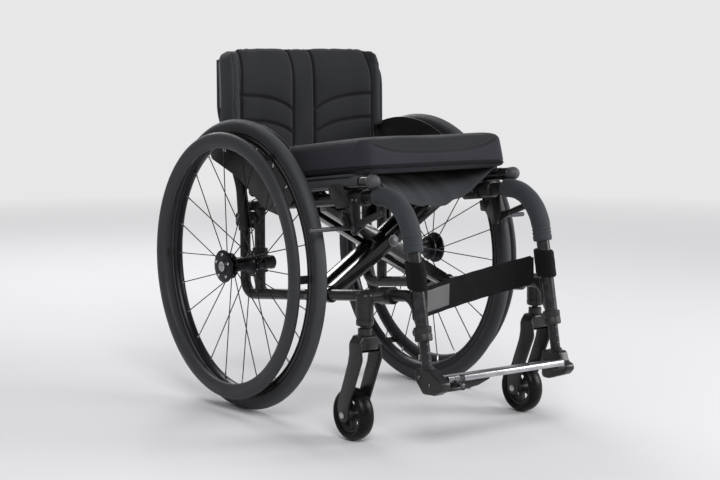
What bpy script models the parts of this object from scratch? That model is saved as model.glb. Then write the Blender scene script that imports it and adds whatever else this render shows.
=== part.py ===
"""Folding active wheelchair, as an assembly of named sub-parts.

Metres, +Z up, the chair faces -Y, and +X is the occupant's left. A y value below is measured from
the rear axle, and at() moves it into the model, whose origin is the middle of its box on the floor.
A side is -1 for the occupant's right and +1 for the left.
"""

import math

import bmesh
import bpy
import numpy as np
from mathutils import Matrix, Vector
from mathutils.geometry import intersect_line_sphere_2d

SIDES = {"right": -1, "left": 1}

# Clearances
GAP = 0.0003  # between pieces that touch
RUN = 0.0004  # between pieces that turn or slide on each other
EDGE = 0.001  # broken edges of plates and blocks

# Overall sizes, and the height of the axle that the z values below are drawn for
FRAME_X = 0.158
TYRE_RADIUS = 0.295
AXLE_Z = 0.295
LIFT = TYRE_RADIUS - AXLE_Z

# Rear wheel
TYRE_DEPTH = 0.0267
TYRE_WIDTH = 0.027
RIM_DEPTH = 0.018
RIM_WIDTH = 0.023
WHEEL_X = FRAME_X + 0.073
HANDRIM_X = WHEEL_X + 0.040
HANDRIM_RADIUS = TYRE_RADIUS - 0.0255
HANDRIM_DEPTH = 0.032
HANDRIM_WIDTH = 0.019
HANDRIM_TABS = 6
HUB_RADIUS = 0.0145
FLANGE_RADIUS = 0.026
FLANGE_X = (WHEEL_X + 0.024, WHEEL_X - 0.028)
HUB_CAP_RADIUS = 0.033
HUB_CAP_X = WHEEL_X + 0.0445
SPOKES = 24
SPOKE_RADIUS = 0.0011
SPOKE_SWEEP = 22.5
AXLE_RADIUS = 0.006
AXLE_TIP_X = FRAME_X - 0.008
BUTTON_RADIUS = 0.0042
BUTTON_TRAVEL = 0.004
WHEEL_STEPS = 48

# Side frame
SLOPE = math.radians(6.5)
MAIN_RADIUS = 0.0125
LOOP_RADIUS = 0.011
LOWER_Y = -0.243
LOWER_Z = 0.256
TOP_RISE = 0.1849
BEND_RADIUS = 0.09
BEND_STEPS = 6
LOOP_BEND = 0.03
FRONT_BEND = 0.035
UPRIGHT_Y = 0.042
REAR_TUBE_Y = 0.099
MAIN_REAR_Y = 0.055
LEG_LEAN = math.radians(11)
LEG_Y = -0.475
LEG_Z = 0.363
LEG_BOTTOM_Z = 0.207
LOOP_FRONT_Y = -0.475
SLEEVE_WALL = 0.0057
SLEEVE_START_Y = -0.3655
SLEEVE_END_Z = 0.362

# Foot tubes, brackets and footplate
FOOT_TUBE_RADIUS = 0.0095
FOOT_TUBE_TOP_Z = 0.302
FOOT_TUBE_BOTTOM_Z = 0.138
FOOT_TRAVEL = 0.045
COLLAR_RADIUS = MAIN_RADIUS + 0.004
COLLAR_HEIGHT = 0.023
BRACKET_WIDTH = 2 * (FOOT_TUBE_RADIUS + 0.0015)
PLATE_Y = -0.538
PLATE_Z = 0.135
PLATE_DEPTH = 0.068
PLATE_THICK = 0.012
PLATE_CORNER = 0.003
PLATE_RIGHT_X = 0.020 - FRAME_X
PLATE_LEFT_X = FRAME_X - 0.028
PLATE_NOTCH_X = FRAME_X - 0.043
PLATE_NOTCH_S = 0.0005
HINGE_X = 0.0405 - FRAME_X
KNUCKLE_RADIUS = 0.0078
HINGE_DROP = PLATE_THICK / 2 + KNUCKLE_RADIUS + 0.0007
HINGE_PIN_RADIUS = 0.004
ARM_S = (-0.020, 0.0)
SHELF_S = (0.003, 0.015)
LUG_S = (0.018, 0.030)
HINGE_ARM_END_X = HINGE_X + 0.089
SHELF_END_X = PLATE_LEFT_X - 0.0045

# Seat rails and their saddles
RAIL_X = FRAME_X + 0.014
RAIL_RADIUS = 0.011
RAIL_RISE = 0.2134
RAIL_FRONT_Y = -0.372
RAIL_REAR_Y = 0.045
CAP_RADIUS = RAIL_RADIUS + 0.0022
CAP_FRONT_Y = -0.384
CAP_REAR_Y = -0.340
SADDLE_Y = (-0.293, -0.247)
SADDLE_WALL = 0.0047

# Cross brace
RAIL_ANGLE = math.atan2(RAIL_RISE, RAIL_X + FRAME_X)
RAIL_ABOVE_ARM = 0.012954
ARM_ANGLE = RAIL_ANGLE - math.asin(RAIL_ABOVE_ARM / math.hypot(RAIL_RISE, RAIL_X + FRAME_X))
ARM_Y = {"a": (-0.205, -0.153), "b": (-0.179, -0.127)}
ARM_WIDTH = 0.0245
ARM_HEIGHT = 0.025
CROSS_SLEEVE_WALL = 0.0041
PIVOT_RADIUS = 0.005
PIVOT_HEAD_RADIUS = 0.012
PIVOT_HEAD = 0.004

# Axle clamp, side guard and back cane
CLAMP_HEIGHT = 0.050
CLAMP_WALL = 0.005
BOSS_RADIUS = 0.014
BOSS_X = (FRAME_X - 0.0045, FRAME_X + 0.0215)
GUARD_X = FRAME_X + 0.042
GUARD_THICK = 0.003
GUARD_ARC = TYRE_RADIUS - 0.006
GUARD_BACK = 0.020
GUARD_ROLL = 0.006
CANE_X = FRAME_X + 0.027
CANE_RADIUS = 0.011
CANE_TOP_Z = 0.707

# Brake
BRAKE_RING_Y = (-0.330, -0.300)
BRAKE_PLATE_X = FRAME_X + MAIN_RADIUS + 0.004
BRAKE_PLATE = 0.004
TIP_PIVOT = (-0.281, 0.415)
TIP_ROD = (-0.2985, 0.393)
TIP_ROD_RADIUS = 0.0048
TIP_ROD_END_X = WHEEL_X + 0.034
LEVER_PIVOT = (-0.318, 0.392)
LEVER_GRIP = ((-0.345, 0.404), (-0.419, 0.432))
LEVER_GRIP_RADIUS = 0.0065
BRAKE_PIN_RADIUS = 0.0035

# Caster
CASTER_X = FRAME_X + 0.053
CASTER_Y = -0.397
CASTER_TRAIL = 0.036
CASTER_RADIUS = 0.050
CASTER_WIDTH = 0.034
BARREL_RADIUS = 0.0165
BARREL_Z = (0.222, 0.285)
STEM_RADIUS = 0.006
CROWN_Z = (0.172, 0.205)
FORK_INNER = 0.0195
FORK_BLADE = 0.0055
CASTER_AXLE_RADIUS = 0.004
CASTER_HUB_RADIUS = 0.034
CASTER_STEPS = 24

# Soft parts
CUSHION_WIDTH = 2 * (RAIL_X + 0.0055)
CUSHION_DEPTH = 0.395
CUSHION_THICK = 0.064
CUSHION_FRONT_Y = -0.346
CUSHION_RISE = RAIL_RISE + RAIL_RADIUS + 0.0071
SLING_HALF = RAIL_X + 0.012
SLING_SAG_FRONT = 0.078
SLING_SAG_REAR = 0.010
SLING_THICK = 0.003
BACK_Z = (0.497, 0.731)
BACK_THICK = 0.028
FLAP_X = (CANE_X - 0.015, CANE_X + 0.015)
FLAP_Y = (0.086, 0.160)
STRAP_HALF_HEIGHT = 0.028
STRAP_THICK = 0.006
LOOP_BLOCK = (2 * MAIN_RADIUS + 0.009, 0.080, 0.054)
LOOP_BLOCK_Y = -0.4745
LOOP_BLOCK_Z = 0.3198

FORWARD = Vector((0, -math.cos(SLOPE), math.sin(SLOPE)))
RISE = Vector((0, math.sin(SLOPE), math.cos(SLOPE)))
LEG_UP = Vector((0, math.sin(LEG_LEAN), math.cos(LEG_LEAN)))
TOE = Vector((0, -math.cos(LEG_LEAN), math.sin(LEG_LEAN)))
ACROSS = Vector((1, 0, 0))
FOOT_REACH = -PLATE_Y + PLATE_DEPTH / 2 * math.cos(LEG_LEAN) + PLATE_THICK / 2 * math.sin(LEG_LEAN)
AXLE_Y = (FOOT_REACH - TYRE_RADIUS) / 2
RIM_RADIUS = TYRE_RADIUS - TYRE_DEPTH - GAP

COLOURS = {
    "frame": ((0.012, 0.012, 0.013, 1), 0.6, 0.25),
    "rubber": ((0.03, 0.03, 0.032, 1), 0.0, 0.75),
    "plastic": ((0.02, 0.02, 0.021, 1), 0.0, 0.4),
    "fabric": ((0.035, 0.036, 0.042, 1), 0.0, 0.9),
    "bright": ((0.75, 0.75, 0.76, 1), 1.0, 0.22),
    "steel": ((0.45, 0.45, 0.46, 1), 1.0, 0.3),
}


def at(x, y, z):
    """A point of the model from x, y measured from the rear axle, and z as drawn."""
    return Vector((x, y + AXLE_Y, z + LIFT))


def sloped_z(y, rise=0.0):
    """Height at y of the line that runs square above the lower tube by rise."""
    return LOWER_Z + (LOWER_Y - y) * math.tan(SLOPE) + rise / math.cos(SLOPE)


def sloped(x, y, rise=0.0):
    """The point at x and y on the line that runs square above the lower tube by rise."""
    return at(x, y, sloped_z(y, rise))


def on_leg(x, z):
    """The point of the leg's centre line at height z."""
    return at(x, LEG_Y - (LEG_Z - z) * math.tan(LEG_LEAN), z)


def frame_corner(x):
    """Where the top tube's and the leg's centre lines meet."""
    lean = math.tan(LEG_LEAN)
    tilt = math.tan(SLOPE)
    y = (LEG_Y + (sloped_z(0, TOP_RISE) - LEG_Z) * lean) / (1 + tilt * lean)
    return sloped(x, y, TOP_RISE)


def plate_point(x, s, rise=0.0):
    """A point by x, the distance s towards the toes and the height above the footplate's middle."""
    return at(x, PLATE_Y, PLATE_Z) + s * TOE + rise * LEG_UP


def axes(origin, x_axis, y_axis):
    """The matrix of a frame at origin, with its z axis square to the two given."""
    z_axis = x_axis.cross(y_axis)
    return Matrix.Translation(origin) @ Matrix((x_axis, y_axis, z_axis)).transposed().to_4x4()


def side_plane(x):
    """The frame whose x and y are the model's Y and Z, for outlines seen from the side."""
    return axes(at(x, 0, 0), Vector((0, 1, 0)), Vector((0, 0, 1)))


def turned_to(centre, axis):
    """The frame at centre whose z axis runs along axis."""
    turn = Vector((0, 0, 1)).rotation_difference(axis)
    return Matrix.Translation(centre) @ turn.to_matrix().to_4x4()


def rounded(points, radii, steps=6):
    """The path through points, with each inner corner replaced by an arc of its radius."""
    path = [points[0]]
    for before, corner, after, radius in zip(points, points[1:], points[2:], radii):
        back = (before - corner).normalized()
        ahead = (after - corner).normalized()
        half = back.angle(ahead) / 2
        start = corner + back * radius / math.tan(half)
        end = corner + ahead * radius / math.tan(half)
        centre = corner + (back + ahead).normalized() * radius / math.sin(half)
        for step in range(steps + 1):
            spoke = (start - centre).slerp(end - centre, step / steps)
            path.append(centre + spoke.normalized() * radius)
    return path + [points[-1]]


def link(obj, collection="construction"):
    """Puts a new object into a collection, as a hidden helper unless it is a part."""
    bpy.data.collections[collection].objects.link(obj)
    if collection == "construction":
        obj.hide_render = True
        obj.display_type = "WIRE"
    return obj


def mesh_object(name, mesh, matrix=None):
    """A helper object from a mesh, placed by matrix."""
    obj = link(bpy.data.objects.new(name, mesh))
    if matrix is not None:
        obj.matrix_world = matrix
    return obj


def solid_from_curve(name, curve, matrix=None):
    """The mesh of a curve with its caps welded on, as an object."""
    shape = bpy.data.objects.new(name, curve)
    bpy.context.scene.collection.objects.link(shape)
    graph = bpy.context.evaluated_depsgraph_get()
    mesh = bpy.data.meshes.new_from_object(shape.evaluated_get(graph))
    bpy.data.objects.remove(shape)
    bpy.data.curves.remove(curve)
    work = bmesh.new()
    work.from_mesh(mesh)
    bmesh.ops.remove_doubles(work, verts=work.verts, dist=1e-6)
    bmesh.ops.recalc_face_normals(work, faces=work.faces)
    work.to_mesh(mesh)
    work.free()
    mesh.name = name
    return mesh_object(name, mesh, matrix)


def tubes(name, paths, radius, roundness=3, matrix=None):
    """Round bars along several paths of points, as one mesh."""
    curve = bpy.data.curves.new(name, "CURVE")
    curve.dimensions = "3D"
    curve.bevel_depth = radius
    curve.bevel_resolution = roundness
    curve.use_fill_caps = True
    for path in paths:
        spline = curve.splines.new("POLY")
        spline.points.add(len(path) - 1)
        for point, place in zip(spline.points, path):
            point.co = (*place, 1)
    return solid_from_curve(name, curve, matrix)


def tube(name, path, radius, roundness=3):
    """One round bar along a path of points."""
    return tubes(name, [path], radius, roundness)


def pipe(name, path, outer, inner, sides=10):
    """A hollow bar along a path that stays in one side plane, with mitred rings."""
    path = np.array(path)
    run = np.diff(path, axis=0)
    run /= np.linalg.norm(run, axis=1, keepdims=True)
    tangent = np.concatenate([run[:1], run[:-1] + run[1:], run[-1:]])
    stretch = 2 / np.linalg.norm(tangent, axis=1, keepdims=True)
    stretch[[0, -1]] = 1
    tangent /= np.linalg.norm(tangent, axis=1, keepdims=True)
    level = np.array(ACROSS)
    upright = np.cross(tangent, level) * stretch
    angle = np.arange(sides) * math.tau / sides
    rings = np.cos(angle)[:, None] * level + np.sin(angle)[:, None] * upright[:, None]
    points = np.concatenate([path[:, None] + radius * rings for radius in (outer, inner)])
    stations = len(path)
    order = list(range(stations)) + list(range(2 * stations - 1, stations - 1, -1))
    faces = []
    for a, b in zip(order, order[1:] + order[:1]):
        for i in range(sides):
            j = (i + 1) % sides
            faces.append((a * sides + i, a * sides + j, b * sides + j, b * sides + i))
    mesh = bpy.data.meshes.new(name)
    mesh.from_pydata(points.reshape(-1, 3).tolist(), [], faces)
    return mesh_object(name, mesh)


def outward(mesh):
    """The mesh with its faces turned outwards."""
    work = bmesh.new()
    work.from_mesh(mesh)
    bmesh.ops.recalc_face_normals(work, faces=work.faces)
    work.to_mesh(mesh)
    work.free()
    return mesh


def plate(name, outline, thickness, matrix, edge=EDGE):
    """A flat piece: a 2-D outline extruded both ways, with broken edges inside its outline."""
    curve = bpy.data.curves.new(name, "CURVE")
    curve.dimensions = "2D"
    curve.fill_mode = "BOTH"
    curve.extrude = thickness / 2 - edge
    curve.bevel_depth = edge
    curve.bevel_resolution = 0
    curve.offset = -edge
    spline = curve.splines.new("POLY")
    spline.points.add(len(outline) - 1)
    spline.use_cyclic_u = True
    for point, (u, v) in zip(spline.points, outline):
        point.co = (u, v, 0, 1)
    return solid_from_curve(name, curve, matrix)


def round_outline(points, radius, steps=1):
    """A closed 2-D outline with every corner rounded."""
    corners = [Vector((u, v, 0)) for u, v in points]
    path = []
    for index, corner in enumerate(corners):
        arc = rounded([corners[index - 1], corner, corners[(index + 1) % len(corners)]], [radius], steps)
        path += [(point.x, point.y) for point in arc[1:-1]]
    return path


def lathe(name, profile, matrix, steps=20, closed=False):
    """A turned piece: the profile of (radius, height) pairs, top to bottom, round the local z axis."""
    mesh = bpy.data.meshes.new(name)
    edges = [(i, i + 1) for i in range(len(profile) - 1)]
    if closed:
        edges.append((len(profile) - 1, 0))
    mesh.from_pydata([(radius, 0, height) for radius, height in profile], edges, [])
    obj = mesh_object(name, mesh, matrix)
    screw = obj.modifiers.new("turn", "SCREW")
    screw.steps = steps
    screw.render_steps = steps
    screw.use_merge_vertices = True
    screw.merge_threshold = 1e-5
    screw.use_smooth_shade = True
    return obj


def rod(name, start, end, radius, steps=16):
    """A plain cylinder from start to end."""
    length = (end - start).length
    profile = [(0, length), (radius, length), (radius, 0), (0, 0)]
    return lathe(name, profile, turned_to(start, (end - start).normalized()), steps)


def block(name, size, matrix, edge=EDGE):
    """A box round the frame's origin, with bevelled edges."""
    mesh = bpy.data.meshes.new(name)
    work = bmesh.new()
    bmesh.ops.create_cube(work, size=1, matrix=Matrix.Diagonal((*size, 1)))
    if edge:
        bmesh.ops.bevel(work, geom=work.edges[:], offset=edge, segments=1, affect="EDGES")
    work.to_mesh(mesh)
    work.free()
    return mesh_object(name, mesh, matrix)


def slab(name, near, far):
    """A closed sheet between two equal grids of points, as arrays of rows x columns x 3."""
    rows, columns = near.shape[:2]
    points = np.concatenate([near.reshape(-1, 3), far.reshape(-1, 3)])
    back = rows * columns
    faces = []
    for row in range(rows - 1):
        for column in range(columns - 1):
            a = row * columns + column
            quad = (a, a + 1, a + columns + 1, a + columns)
            faces.append(quad)
            faces.append(tuple(back + i for i in reversed(quad)))
    rim = list(range(columns))
    rim += [row * columns + columns - 1 for row in range(1, rows)]
    rim += [(rows - 1) * columns + column for column in range(columns - 2, -1, -1)]
    rim += [row * columns for row in range(rows - 2, 0, -1)]
    for a, b in zip(rim, rim[1:] + rim[:1]):
        faces.append((b, a, a + back, b + back))
    mesh = bpy.data.meshes.new(name)
    mesh.from_pydata(points.tolist(), [], faces)
    return mesh_object(name, outward(mesh))


def combine(target, operation, others):
    """Adds one Boolean to target for each helper."""
    for other in others:
        step = target.modifiers.new(f"{operation.lower()} {other.name}", "BOOLEAN")
        step.operation = operation
        step.solver = "EXACT"
        step.object = other
    return target


def fuse(target, *others):
    """Joins helpers to target."""
    return combine(target, "UNION", others)


def cut(target, *others):
    """Cuts helpers out of target."""
    return combine(target, "DIFFERENCE", others)


def material(kind):
    """The plain material of one kind, made once."""
    made = bpy.data.materials.get(kind)
    if made:
        return made
    colour, metallic, roughness = COLOURS[kind]
    made = bpy.data.materials.new(kind)
    made.use_nodes = True
    shader = made.node_tree.nodes["Principled BSDF"]
    shader.inputs["Base Color"].default_value = colour
    shader.inputs["Metallic"].default_value = metallic
    shader.inputs["Roughness"].default_value = roughness
    return made


def finish(obj, name, kind, origin=None):
    """Makes a helper into a part with its own material, and moves its origin, which a turned piece keeps."""
    bpy.data.collections["construction"].objects.unlink(obj)
    bpy.data.collections["wheelchair"].objects.link(obj)
    obj.hide_render = False
    obj.display_type = "TEXTURED"
    obj.name = name
    if origin is not None:
        shift = obj.matrix_world.inverted() @ origin
        obj.data.transform(Matrix.Translation(-shift))
        obj.matrix_world = obj.matrix_world @ Matrix.Translation(shift)
    own = material(kind).copy()
    own.name = f"{name} {kind}"
    obj.data.materials.clear()
    obj.data.materials.append(own)
    for face in obj.data.polygons:
        face.use_smooth = True
    return obj


def side_frame(name, side):
    """Leg, bend and top tube, with the lower loop and the upright welded on and the leg bored."""
    x = side * FRAME_X
    main = [on_leg(x, LEG_BOTTOM_Z), frame_corner(x), sloped(x, MAIN_REAR_Y, TOP_RISE)]
    frame = tube(name, rounded(main, [BEND_RADIUS], BEND_STEPS), MAIN_RADIUS)
    loop = [
        sloped(x, MAIN_REAR_Y - 0.02, TOP_RISE),
        sloped(x, REAR_TUBE_Y, TOP_RISE),
        sloped(x, REAR_TUBE_Y),
        sloped(x, LOOP_FRONT_Y),
        on_leg(x, LEG_BOTTOM_Z + 0.03) + Vector((0, 0.004, 0)),
    ]
    ring = tube(f"{name} loop", rounded(loop, [LOOP_BEND, LOOP_BEND, FRONT_BEND], 5), LOOP_RADIUS)
    upright = tube(f"{name} upright", [sloped(x, UPRIGHT_Y), sloped(x, UPRIGHT_Y, TOP_RISE)], LOOP_RADIUS)
    bore_top = on_leg(x, FOOT_TUBE_TOP_Z) + LEG_UP * (FOOT_TRAVEL + 0.008)
    bore_end = on_leg(x, LEG_BOTTOM_Z - 0.01)
    bore = rod(f"{name} bore", bore_end, bore_top, FOOT_TUBE_RADIUS + GAP)
    cut(fuse(frame, ring, upright), bore)
    finish(frame, name, "frame", sloped(x, LOWER_Y))


def leg_sleeve(name, side):
    """Foam round the bend of the side frame."""
    x = side * FRAME_X
    path = [on_leg(x, SLEEVE_END_Z), frame_corner(x), sloped(x, SLEEVE_START_Y, TOP_RISE)]
    route = rounded(path, [BEND_RADIUS], BEND_STEPS)
    foam = pipe(name, route, MAIN_RADIUS + SLEEVE_WALL, MAIN_RADIUS + 2 * GAP, 12)
    finish(foam, name, "rubber", on_leg(x, SLEEVE_END_Z))


def foot_collar(name, side):
    """Ring on the foot of the leg that clamps the foot tube."""
    x = side * FRAME_X
    lip = 0.004
    low = on_leg(x, LEG_BOTTOM_Z) - LEG_UP * (lip + GAP)
    top = COLLAR_HEIGHT + lip
    profile = [
        (MAIN_RADIUS + GAP, top),
        (COLLAR_RADIUS - 0.001, top),
        (COLLAR_RADIUS, top - 0.001),
        (COLLAR_RADIUS, 0.002),
        (COLLAR_RADIUS - 0.002, 0),
        (FOOT_TUBE_RADIUS + GAP, 0),
        (FOOT_TUBE_RADIUS + GAP, lip),
        (MAIN_RADIUS + GAP, lip),
    ]
    finish(lathe(name, profile, turned_to(low, LEG_UP), 16, True), name, "plastic")


def foot_tube(name, side):
    """Inner tube that carries the footplate's bracket."""
    x = side * FRAME_X
    low = on_leg(x, FOOT_TUBE_BOTTOM_Z)
    high = on_leg(x, FOOT_TUBE_TOP_Z)
    finish(rod(name, low, high, FOOT_TUBE_RADIUS, 20), name, "frame")


def bracket_socket(name, side):
    """The hole that the foot tube's end sits in."""
    x = side * FRAME_X
    low = on_leg(x, FOOT_TUBE_BOTTOM_Z) - LEG_UP * GAP
    return rod(f"{name} socket", low, low + LEG_UP * 0.05, FOOT_TUBE_RADIUS + GAP)


def foot_bracket_right(name):
    """Casting on the near foot tube, with the lug and the pin of the footplate's hinge."""
    x = -FRAME_X
    outline = [
        (-0.494, 0.153),
        (-0.494, 0.130),
        (-0.516, 0.108),
        (-0.548, 0.110),
        (-0.571, 0.121),
        (-0.571, 0.136),
        (-0.546, 0.148),
        (-0.536, 0.156),
    ]
    body = plate(name, round_outline(outline, 0.008, 2), BRACKET_WIDTH, side_plane(x))
    lug_middle = sum(LUG_S) / 2
    lug_width = LUG_S[1] - LUG_S[0]
    inner = x + BRACKET_WIDTH / 2
    web_length = HINGE_X - inner + 0.004
    web_top = -HINGE_DROP - 2 * GAP
    web_low = -HINGE_DROP - KNUCKLE_RADIUS + 0.001
    web_centre = plate_point(inner + web_length / 2 - 0.004, lug_middle, (web_top + web_low) / 2)
    web = block(f"{name} web", (web_length, lug_width, web_top - web_low), axes(web_centre, ACROSS, -TOE))
    knuckle = rod(f"{name} knuckle", hinge_point(LUG_S[0]), hinge_point(LUG_S[1]), KNUCKLE_RADIUS, 16)
    pin = rod(f"{name} pin", hinge_point(ARM_S[0]), hinge_point(LUG_S[1] - 0.001), HINGE_PIN_RADIUS, 16)
    fuse(body, web, knuckle, pin)
    finish(cut(body, bracket_socket(name, -1)), name, "frame", on_leg(x, FOOT_TUBE_BOTTOM_Z))


def foot_bracket_left(name):
    """Casting on the far foot tube, with the shelf that the footplate's free end rests on."""
    x = FRAME_X
    outline = [
        (-0.487, 0.152),
        (-0.487, 0.098),
        (-0.506, 0.098),
        (-0.548, 0.112),
        (-0.558, 0.122),
        (-0.556, 0.133),
        (-0.543, 0.136),
        (-0.536, 0.156),
    ]
    body = plate(name, round_outline(outline, 0.008, 2), BRACKET_WIDTH, side_plane(x))
    shelf_thick = 0.007
    shelf_length = x - SHELF_END_X
    shelf_centre = plate_point(
        SHELF_END_X + shelf_length / 2, sum(SHELF_S) / 2, -PLATE_THICK / 2 - GAP - shelf_thick / 2
    )
    shelf = block(
        f"{name} shelf",
        (shelf_length, SHELF_S[1] - SHELF_S[0], shelf_thick),
        axes(shelf_centre, ACROSS, -TOE),
    )
    cut(fuse(body, shelf), bracket_socket(name, 1))
    finish(body, name, "frame", on_leg(x, FOOT_TUBE_BOTTOM_Z))


def hinge_point(s):
    """A point of the footplate's hinge axis, s towards the toes."""
    return plate_point(HINGE_X, s, -HINGE_DROP)


def footplate(name):
    """Bright plate, notched at the far leg and at the hinge's lug."""
    half = PLATE_DEPTH / 2
    lug = LUG_S[0] - 0.001
    notch = HINGE_X + PLATE_CORNER
    outline = [
        (PLATE_RIGHT_X, -half),
        (PLATE_NOTCH_X, -half),
        (PLATE_NOTCH_X, PLATE_NOTCH_S),
        (PLATE_LEFT_X, PLATE_NOTCH_S),
        (PLATE_LEFT_X, half),
        (notch, half),
        (notch, lug),
        (PLATE_RIGHT_X, lug),
    ]
    place = axes(plate_point(0, 0), ACROSS, TOE)
    step = plate(name, round_outline(outline, PLATE_CORNER), PLATE_THICK, place)
    finish(step, name, "bright", hinge_point(0))


def footplate_hinge(name):
    """Arm under the footplate that turns on the bracket's pin."""
    under = HINGE_DROP - PLATE_THICK / 2 - GAP
    outline = [
        (-KNUCKLE_RADIUS, 0),
        (-KNUCKLE_RADIUS * 0.71, -KNUCKLE_RADIUS * 0.71),
        (0, -KNUCKLE_RADIUS),
        (0.030, -KNUCKLE_RADIUS),
        (0.060, -KNUCKLE_RADIUS * 0.6),
        (HINGE_ARM_END_X - HINGE_X, under - 0.004),
        (HINGE_ARM_END_X - HINGE_X, under),
        (0, under),
        (-KNUCKLE_RADIUS * 0.71, KNUCKLE_RADIUS * 0.71),
    ]
    middle = (ARM_S[0] + ARM_S[1]) / 2
    place = axes(hinge_point(middle), ACROSS, LEG_UP)
    arm = plate(name, outline, ARM_S[1] - ARM_S[0] - 2 * GAP, place)
    ends = (hinge_point(ARM_S[0] - 0.01), hinge_point(ARM_S[1] + 0.01))
    hole = rod(f"{name} hole", *ends, HINGE_PIN_RADIUS + GAP)
    finish(cut(arm, hole), name, "frame", hinge_point(0))


def seat_rail(name, side):
    """Bar that the sling hangs from."""
    x = side * RAIL_X
    front = sloped(x, RAIL_FRONT_Y, RAIL_RISE)
    rear = sloped(x, RAIL_REAR_Y, RAIL_RISE)
    finish(rod(name, rear, front, RAIL_RADIUS, 20), name, "frame")


def rail_cap(name, side):
    """Plastic cap on the front of a seat rail."""
    x = side * RAIL_X
    back = sloped(x, CAP_REAR_Y, RAIL_RISE)
    front = sloped(x, CAP_FRONT_Y, RAIL_RISE)
    length = (front - back).length
    depth = (sloped(x, RAIL_FRONT_Y, RAIL_RISE) - back).length + GAP
    bore = RAIL_RADIUS + GAP
    dome = [math.radians(20 * step) for step in range(5)]
    profile = [(CAP_RADIUS * math.sin(a), length - CAP_RADIUS * (1 - math.cos(a))) for a in dome]
    profile += [
        (CAP_RADIUS, length - CAP_RADIUS),
        (CAP_RADIUS, 0),
        (bore, 0),
        (bore, depth),
        (0, depth),
    ]
    finish(lathe(name, profile, turned_to(back, FORWARD), 20), name, "plastic")


def rail_saddle(name, side):
    """Block round the top tube, open above, that the seat rail drops into."""
    x = side * FRAME_X
    middle = sloped(x, sum(SADDLE_Y) / 2, TOP_RISE)
    length = (SADDLE_Y[1] - SADDLE_Y[0]) / math.cos(SLOPE)
    ring = MAIN_RADIUS + SADDLE_WALL
    away = RAIL_X - FRAME_X
    up = RAIL_RISE - TOP_RISE
    cup = RAIL_RADIUS + GAP + 0.0025
    outline = [
        (-ring, -ring * 0.6),
        (-ring * 0.6, -ring),
        (ring * 0.7, -ring),
        (ring, -ring * 0.6),
        (away + cup, up * 0.5),
        (away + cup, up),
        (away - cup, up),
        (-ring, ring * 0.5),
    ]
    body = plate(name, outline, length, axes(middle, side * ACROSS, RISE))
    bores = []
    for label, bore_x, rise, radius in (
        ("tube", x, TOP_RISE, MAIN_RADIUS),
        ("rail", side * RAIL_X, RAIL_RISE, RAIL_RADIUS),
    ):
        start = sloped(bore_x, SADDLE_Y[1] + 0.02, rise)
        end = sloped(bore_x, SADDLE_Y[0] - 0.02, rise)
        bores.append(rod(f"{name} {label}", start, end, radius + GAP))
    finish(cut(body, *bores), name, "plastic", middle)


def cross_outline():
    """Outline of one arm from its lower pivot: along the arm, and square above it.

    The far end stops short of the top tube, and a lug above it reaches the seat rail.
    """
    half = ARM_HEIGHT / 2
    along = Vector((math.cos(ARM_ANGLE), math.sin(ARM_ANGLE)))
    above = Vector((-along.y, along.x))
    tube = Vector((2 * FRAME_X, TOP_RISE))
    rail = Vector((RAIL_X + FRAME_X, RAIL_RISE))
    tube_u, tube_v = tube @ along, tube @ above
    rail_u, rail_v = rail @ along, rail @ above
    clear = MAIN_RADIUS + 0.00226
    return [
        (0, half),
        (0, -half),
        (tube_u - clear - 0.01333, -half),
        (tube_u - clear - 0.00633, tube_v + clear - 0.0125),
        (tube_u - clear + 0.00067, tube_v + clear - 0.003),
        (tube_u - 0.0041, tube_v + clear),
        (tube_u + 0.0099, tube_v + clear),
        (tube_u + clear + 0.00314, tube_v + clear - 0.0085),
        (rail_u - 0.0018, tube_v + clear - 0.0105),
        (rail_u - 0.0018, rail_v + 0.00555),
        (rail_u - 0.0078, rail_v + 0.01305),
        (rail_u - 0.0228, rail_v + 0.01055),
        (tube_u - clear - 0.00633, half + 0.004),
        (tube_u - clear - 0.02133, half),
    ]


def cross_frame(name, letter, side):
    """Two parallel arms from the sleeve on one lower tube up to the seat rail of the other side."""
    x = side * FRAME_X
    reach = -side * ACROSS
    along = math.cos(ARM_ANGLE) * reach + math.sin(ARM_ANGLE) * RISE
    above = math.cos(ARM_ANGLE) * RISE - math.sin(ARM_ANGLE) * reach
    front, rear = ARM_Y[letter]
    width = ARM_WIDTH / 2 * math.cos(SLOPE)
    sleeve_front = sloped(x, front - width)
    sleeve_rear = sloped(x, rear + width)
    sleeve_radius = LOOP_RADIUS + RUN + CROSS_SLEEVE_WALL
    sleeve = rod(name, sleeve_rear, sleeve_front, sleeve_radius, 20)
    arms = [
        plate(f"{name} arm {y:.3f}", cross_outline(), ARM_WIDTH, axes(sloped(x, y), along, above))
        for y in (front, rear)
    ]
    tube_bore = rod(f"{name} tube", sloped(x, rear + 0.05), sloped(x, front - 0.05), LOOP_RADIUS + RUN)
    rail_bore = rod(
        f"{name} rail",
        sloped(-side * RAIL_X, rear + 0.08, RAIL_RISE),
        sloped(-side * RAIL_X, front - 0.05, RAIL_RISE),
        RAIL_RADIUS + GAP,
    )
    pivot_bore = rod(f"{name} pivot", pivot_point(rear + 0.05), pivot_point(front - 0.05), PIVOT_RADIUS + GAP)
    cut(fuse(sleeve, *arms), tube_bore, rail_bore, pivot_bore)
    finish(sleeve, name, "frame")


def pivot_point(y):
    """A point of the cross brace's middle axis."""
    return sloped(0, y, FRAME_X * math.tan(ARM_ANGLE))


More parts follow.
